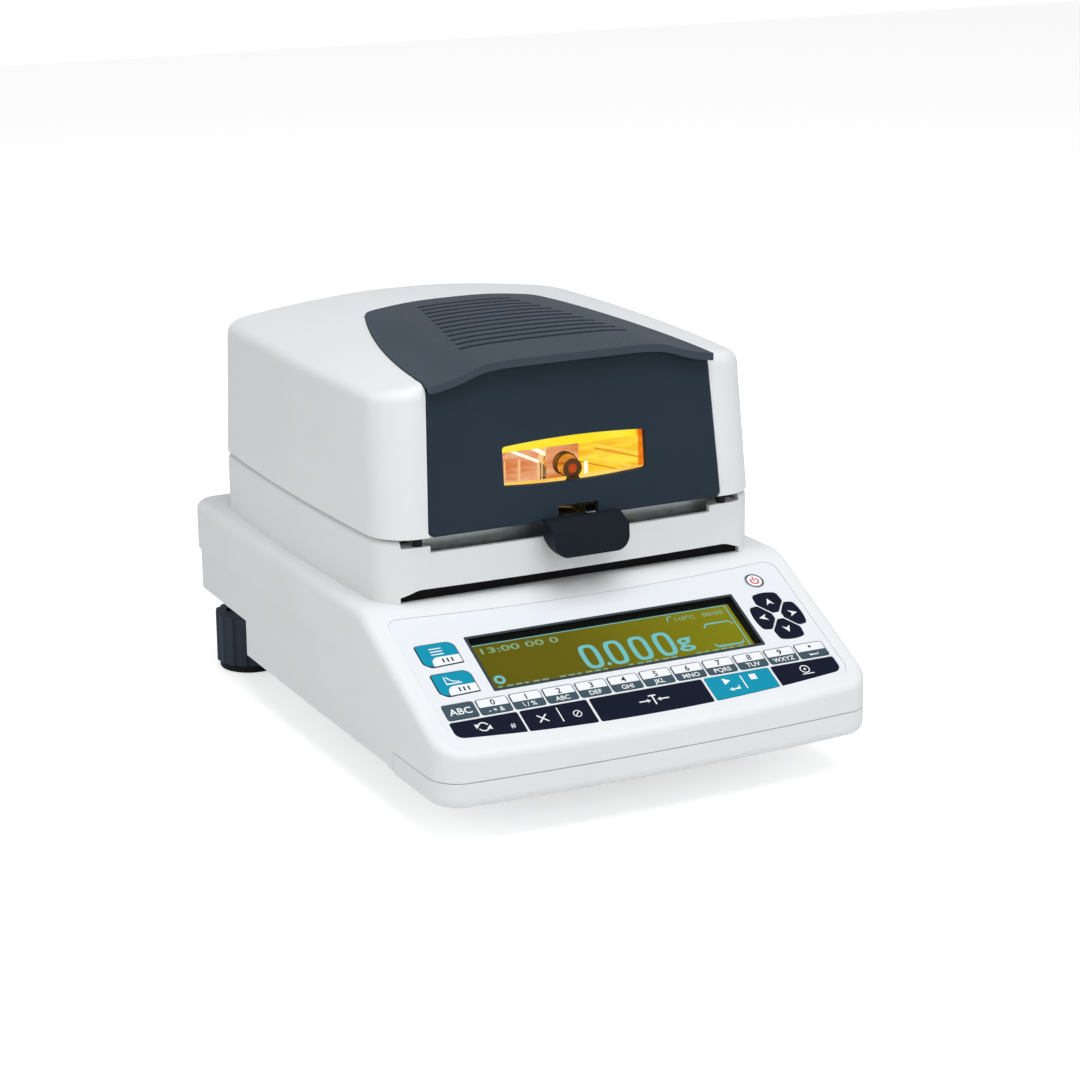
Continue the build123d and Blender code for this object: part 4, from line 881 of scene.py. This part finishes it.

# %% [markdown]
# ## The lit chamber behind the window
# The halogen lamp glows behind an amber pane. The pane is a thin tinted sheet, and what
# shows through it is metal in the lamp's light: folded walls, streaks of glare and the lamp's
# end. That light is painted: each has its own emission, so the glow is steady at any sample
# count.

# %% Pane and glowing finishes


def warm_glow(name, low, high, scale):
    """Painted light: emission that varies in diagonal streaks, like light on folded foil."""
    material, tree, links = new_material(name)
    shader = tree["Principled BSDF"]
    place = tree.new("ShaderNodeTexCoord")
    mapping = tree.new("ShaderNodeMapping")
    mapping.inputs["Rotation"].default_value = (0, math.radians(22), 0)
    mapping.inputs["Scale"].default_value = (0.35, 1.0, 2.6)
    links.new(place.outputs["Object"], mapping.inputs["Vector"])
    streaks = tree.new("ShaderNodeTexNoise")
    streaks.inputs["Scale"].default_value = scale
    streaks.inputs["Detail"].default_value = 3.0
    links.new(mapping.outputs["Vector"], streaks.inputs["Vector"])
    ramp = colour_between(tree, links, streaks.outputs["Fac"], low, high, 0.36, 0.62)
    links.new(ramp.outputs["Color"], shader.inputs["Emission Color"])
    shader.inputs["Emission Strength"].default_value = 1.0
    shader.inputs["Base Color"].default_value = (0.05, 0.02, 0.004, 1)
    shader.inputs["Specular IOR Level"].default_value = 0.0
    return material


dress("window_pane", clear_sheet("amber_sheet", (0.9, 0.45, 0.06), 0.04, 0.05, 0.1))
dress("lamp_tube", warm_glow("lamp_glow", (1.0, 0.55, 0.12), (1.0, 0.92, 0.5), 40.0))
# These glows are painted light from the lamp on the metal behind the pane, with streaks of painted
# glare and of painted shade; only the glow of lamp_core belongs to the lamp.
glow_left = warm_glow("glow_left", (0.60, 0.13, 0.02), (0.86, 0.42, 0.24), 90.0)
glow_right = warm_glow("glow_right", (0.92, 0.40, 0.01), (1.0, 0.80, 0.06), 80.0)
glow_holder = warm_glow("glow_holder", (0.42, 0.09, 0.006), (0.80, 0.30, 0.03), 160.0)
glow_top = warm_glow("glow_top", (1.0, 0.80, 0.02), (1.0, 0.94, 0.08), 50.0)
glow_edge = warm_glow("glow_edge", (0.74, 0.10, 0.003), (0.95, 0.26, 0.01), 60.0)
glow_low = warm_glow("glow_low", (0.95, 0.45, 0.05), (1.0, 0.72, 0.16), 60.0)
glow_line = glowing("glow_line", (1.0, 0.78, 0.12))
glow_shade = glowing("glow_shade", (0.80, 0.25, 0.01))
glow_spot = glowing("glow_spot", (1.0, 0.97, 0.80), 1.1)
glow_core = glowing("glow_core", (0.48, 0.035, 0.002))
glow_fold = glowing("glow_fold", (0.95, 0.55, 0.26))
cap_dark = moulded_plastic("cap_dark", (0.045, 0.016, 0.020), 0.1, 900.0, 0.6, 0.3, 0.1)
shade_sheet_black = moulded_plastic("shade_sheet_black", (0.003, 0.003, 0.004), 0.05, 900.0, 0.6, 0.3, 0.1)
# The lamp holders glow with painted light from the lamp.
dress("lamp_holders", glow_holder)
print("glowing finishes made")

# %% [markdown]
# ## Plates and pleats that stand up
# What stands behind the pane is drawn as it is seen from the front, in millimetres across
# and up, and then stood upright at its depth. A pleated wall steps to and fro in depth as
# it goes across.

# %% Standing helpers
FOIL_MM = 0.3
WALL_Y = -50.0
WALL_LOW, WALL_HIGH = 128.2, 156.0


def foil(name, outlines, y, material, thickness=FOIL_MM, body="hood"):
    """Plates cut to outlines in X and Z, standing at a depth Y."""
    upright = Matrix(((1, 0, 0, 0), (0, 0, -1, y), (0, 1, 0, 0), (0, 0, 0, 1)))
    place = Matrix.Scale(MM, 4) @ upright
    set_down(name, plates(outlines, thickness), place, material, body)


def pleats(name, x0, x1, count, depth, material):
    """A folded wall on the hood: it steps to and fro in Y as it goes across."""
    front, back = [], []
    for i in range(count + 1):
        x = x0 + (x1 - x0) * i / count
        y = WALL_Y + (depth if i % 2 else 0.0)
        front.append((x, y))
        back.append((x, y + FOIL_MM))
    mesh = bmesh.new()
    for i in range(count):
        corners = [front[i], front[i + 1], back[i + 1], back[i]]
        low = [mesh.verts.new((x * MM, y * MM, WALL_LOW * MM)) for x, y in corners]
        high = [mesh.verts.new((x * MM, y * MM, WALL_HIGH * MM)) for x, y in corners]
        mesh.faces.new(low)
        mesh.faces.new(list(reversed(high)))
        for j in range(4):
            k = (j + 1) % 4
            mesh.faces.new((low[j], high[j], high[k], low[k]))
    bmesh.ops.recalc_face_normals(mesh, faces=mesh.faces)
    set_down(name, mesh, Matrix.Identity(4), material, "hood")


def box_outline(x0, x1, z0, z1):
    return rounded_box(x0, x1, z0, z1, (0, 0, 0, 0))


# %% [markdown]
# ## Walls behind the lamp
# The wall is pleated on both sides of the lamp, and the lamp's light on it is painted light:
# the plates glow. Two half plates close the middle, in front of the reflector's bracket, and
# leave the lamp holder's bore open. Narrow strips of painted highlight stand in front of the
# left wall.

# %% Walls
LAMP_X, LAMP_Z = 0.0, 141.0
MIDDLE_Y = -58.5
MIDDLE_LOW, MIDDLE_HIGH = 132.6, 158.0
MIDDLE_HALF = 8.2
BORE_R = 5.3
FOLD_HIGHLIGHTS = [(-26.6, 0.7), (-19.4, 1.2), (-9.4, 1.4), (-7.2, 0.5)]


def half_backdrop(side_x, end_angle):
    """Half of the wall behind the lamp, up to a side and round the lamp's bore."""
    corners = [(LAMP_X, MIDDLE_HIGH), (side_x, MIDDLE_HIGH)]
    corners += [(side_x, MIDDLE_LOW), (LAMP_X, MIDDLE_LOW)]
    return corners + arc(LAMP_X, LAMP_Z, BORE_R, -90, end_angle, 18)


# Painted light: the pleated walls and the middle plates glow.
pleats("foil_left_painted_glow", -44.0, -7.2, 9, 1.6, glow_left)
middle = [half_backdrop(MIDDLE_HALF, 90), half_backdrop(-MIDDLE_HALF, -270)]
foil("foil_middle_painted_glow", middle, MIDDLE_Y, glow_left)
# Painted highlights: narrow bright strips before the left wall.
fold_highlights = [box_outline(x, x + width, 128.4, 143.0) for x, width in FOLD_HIGHLIGHTS]
foil("fold_highlights_painted", fold_highlights, WALL_Y - 1.0, glow_fold)
pleats("foil_right_painted_glow", 7.5, 52.0, 6, 1.0, glow_right)

# %% [markdown]
# ## Folds round the window
# Just behind the pane a fold bright with painted light runs along the top and a paler one along
# the bottom, which bows with the window's edge. An orange edge of painted light closes the
# right side.

# %% Folds round the window
RIM_Y = -66.0
RIM_LEFT = -37.5
SILL_TOP = 136.2
SILL_BOW = 1.0
WINDOW_HALF = 37
# Painted light: glowing plates along the window's top, bottom and right edge.
foil("foil_top_painted_glow", [box_outline(RIM_LEFT, 34.6, 151.3, 158.0)], RIM_Y, glow_top)
sill = [(-38.0, 131.0), (40.8, 131.0)]
sill += [(x, SILL_TOP + SILL_BOW * (x / WINDOW_HALF) ** 2) for x in range(38, -39, -4)]
foil("foil_low_painted_glow", [sill], RIM_Y, glow_low)
foil("foil_edge_painted_glow", [box_outline(35.6, 41.4, 137.0, 158.0)], RIM_Y - 0.4, glow_edge)

# %% [markdown]
# ## Glare
# Thin strokes stand for the streaks of light and shade on the metal: white ones at the
# left, gold and amber ones at the right, and a short upright one beside the lamp.

# %% Glare
STREAK_Y = -52.0
white_lines = [
    stroke([(-24.6, 148.3), (-9.6, 141.2)], 1.5),
    stroke([(-13.4, 148.4), (-3.8, 143.2)], 1.9),
]
foil("foil_glints", white_lines, STREAK_Y - 0.6, glow_spot)
foil("lamp_glint", [rounded_box(10.4, 12.4, 133.8, 140.6, (0.9,) * 4)], -60.0, glow_spot)
gold_lines = [
    stroke([(20.0, 145.4), (46.0, 138.2)], 0.8),
    stroke([(20.0, 142.4), (46.0, 134.6)], 0.5),
    stroke([(14.0, 140.8), (44.0, 131.6)], 0.7),
]
foil("foil_gold_lines", gold_lines, STREAK_Y, glow_line)
amber_lines = [
    stroke([(20.0, 144.0), (46.0, 136.2)], 0.6),
    stroke([(12.0, 138.6), (40.0, 130.0)], 0.6),
]
foil("foil_amber_lines", amber_lines, STREAK_Y, glow_shade)

# %% [markdown]
# ## The lamp's end
# The end cap of the lamp is a dark ring on a spreading foot, with a red-hot core inside
# it. Behind it thin dark rings go round the holder.

# %% Lamp cap and rings
CAP_X, CAP_Z = 0.8, 139.9
CAP_FOOT_Z = CAP_Z - 3.4
COIL_DEPTHS = (-62.8, -61.2, -59.4)
cap = ring(CAP_X, CAP_Z, 4.7, 2.3, 0, ALL_ROUND, 36)
cap_foot = [(CAP_X - 2.8, CAP_FOOT_Z), (CAP_X - 4.6, 132.0)]
cap_foot += [(CAP_X + 5.4, 132.0), (CAP_X + 2.8, CAP_FOOT_Z)]
foil("lamp_cap", [cap, cap_foot], -66.9, cap_dark, 0.5)
foil("lamp_core", [arc(CAP_X, CAP_Z, 2.4, 0, 348, 29)], -66.2, glow_core)
coil = ring(LAMP_X, LAMP_Z, 5.6, 5.05, 0, ALL_ROUND, 36)
for index, y in enumerate(COIL_DEPTHS):
    foil(f"lamp_coil_{index}", [coil], y, cap_dark, 0.45)
print("window lit")

# %% [markdown]
# ## Shelf, painted shade and trim
# A black shelf under the window keeps the glow away from the lifter's slot. Dark strips on the
# liner's front edge are painted shade behind the slot, and bright strips trim that edge. A dark
# plate in the arch under the frame is a painted shadow.

# %% Shelf, painted shade and trim
SHELF_Z = 126.6
SHELF_MM = 0.6
shelf = [(-60, -69.4), (60, -69.4), (60, -34), (-60, -34)]
set_down("window_shelf", plates([shelf], SHELF_MM, SHELF_Z), Matrix.Scale(MM, 4),
         shade_sheet_black, "hood")
# Painted shade: dark strips over the liner's front edge behind the slot.
slot_shade_strips = [box_outline(10.5, 26.0, 116.9, 119.4), box_outline(-26.0, -10.5, 116.9, 119.4)]
foil("liner_painted_shade", slot_shade_strips, -62.4, shade_sheet_black, 0.6, "base")
lips = [box_outline(-4.3, 4.3, 115.4, 116.9), box_outline(7.7, 10.2, 115.4, 116.9),
        box_outline(-10.2, -7.7, 115.4, 116.9)]
foil("liner_lip", lips, -62.2, bright_steel, 0.4, "base")
# Painted shadow: a dark plate in the arch under the frame.
arch_shadow = box_outline(-88.0, 88.0, 88.4, 96.0)
foil("arch_painted_shadow", [arch_shadow], -66.8, shade_sheet_black, 0.8, "base")
print("trim placed")
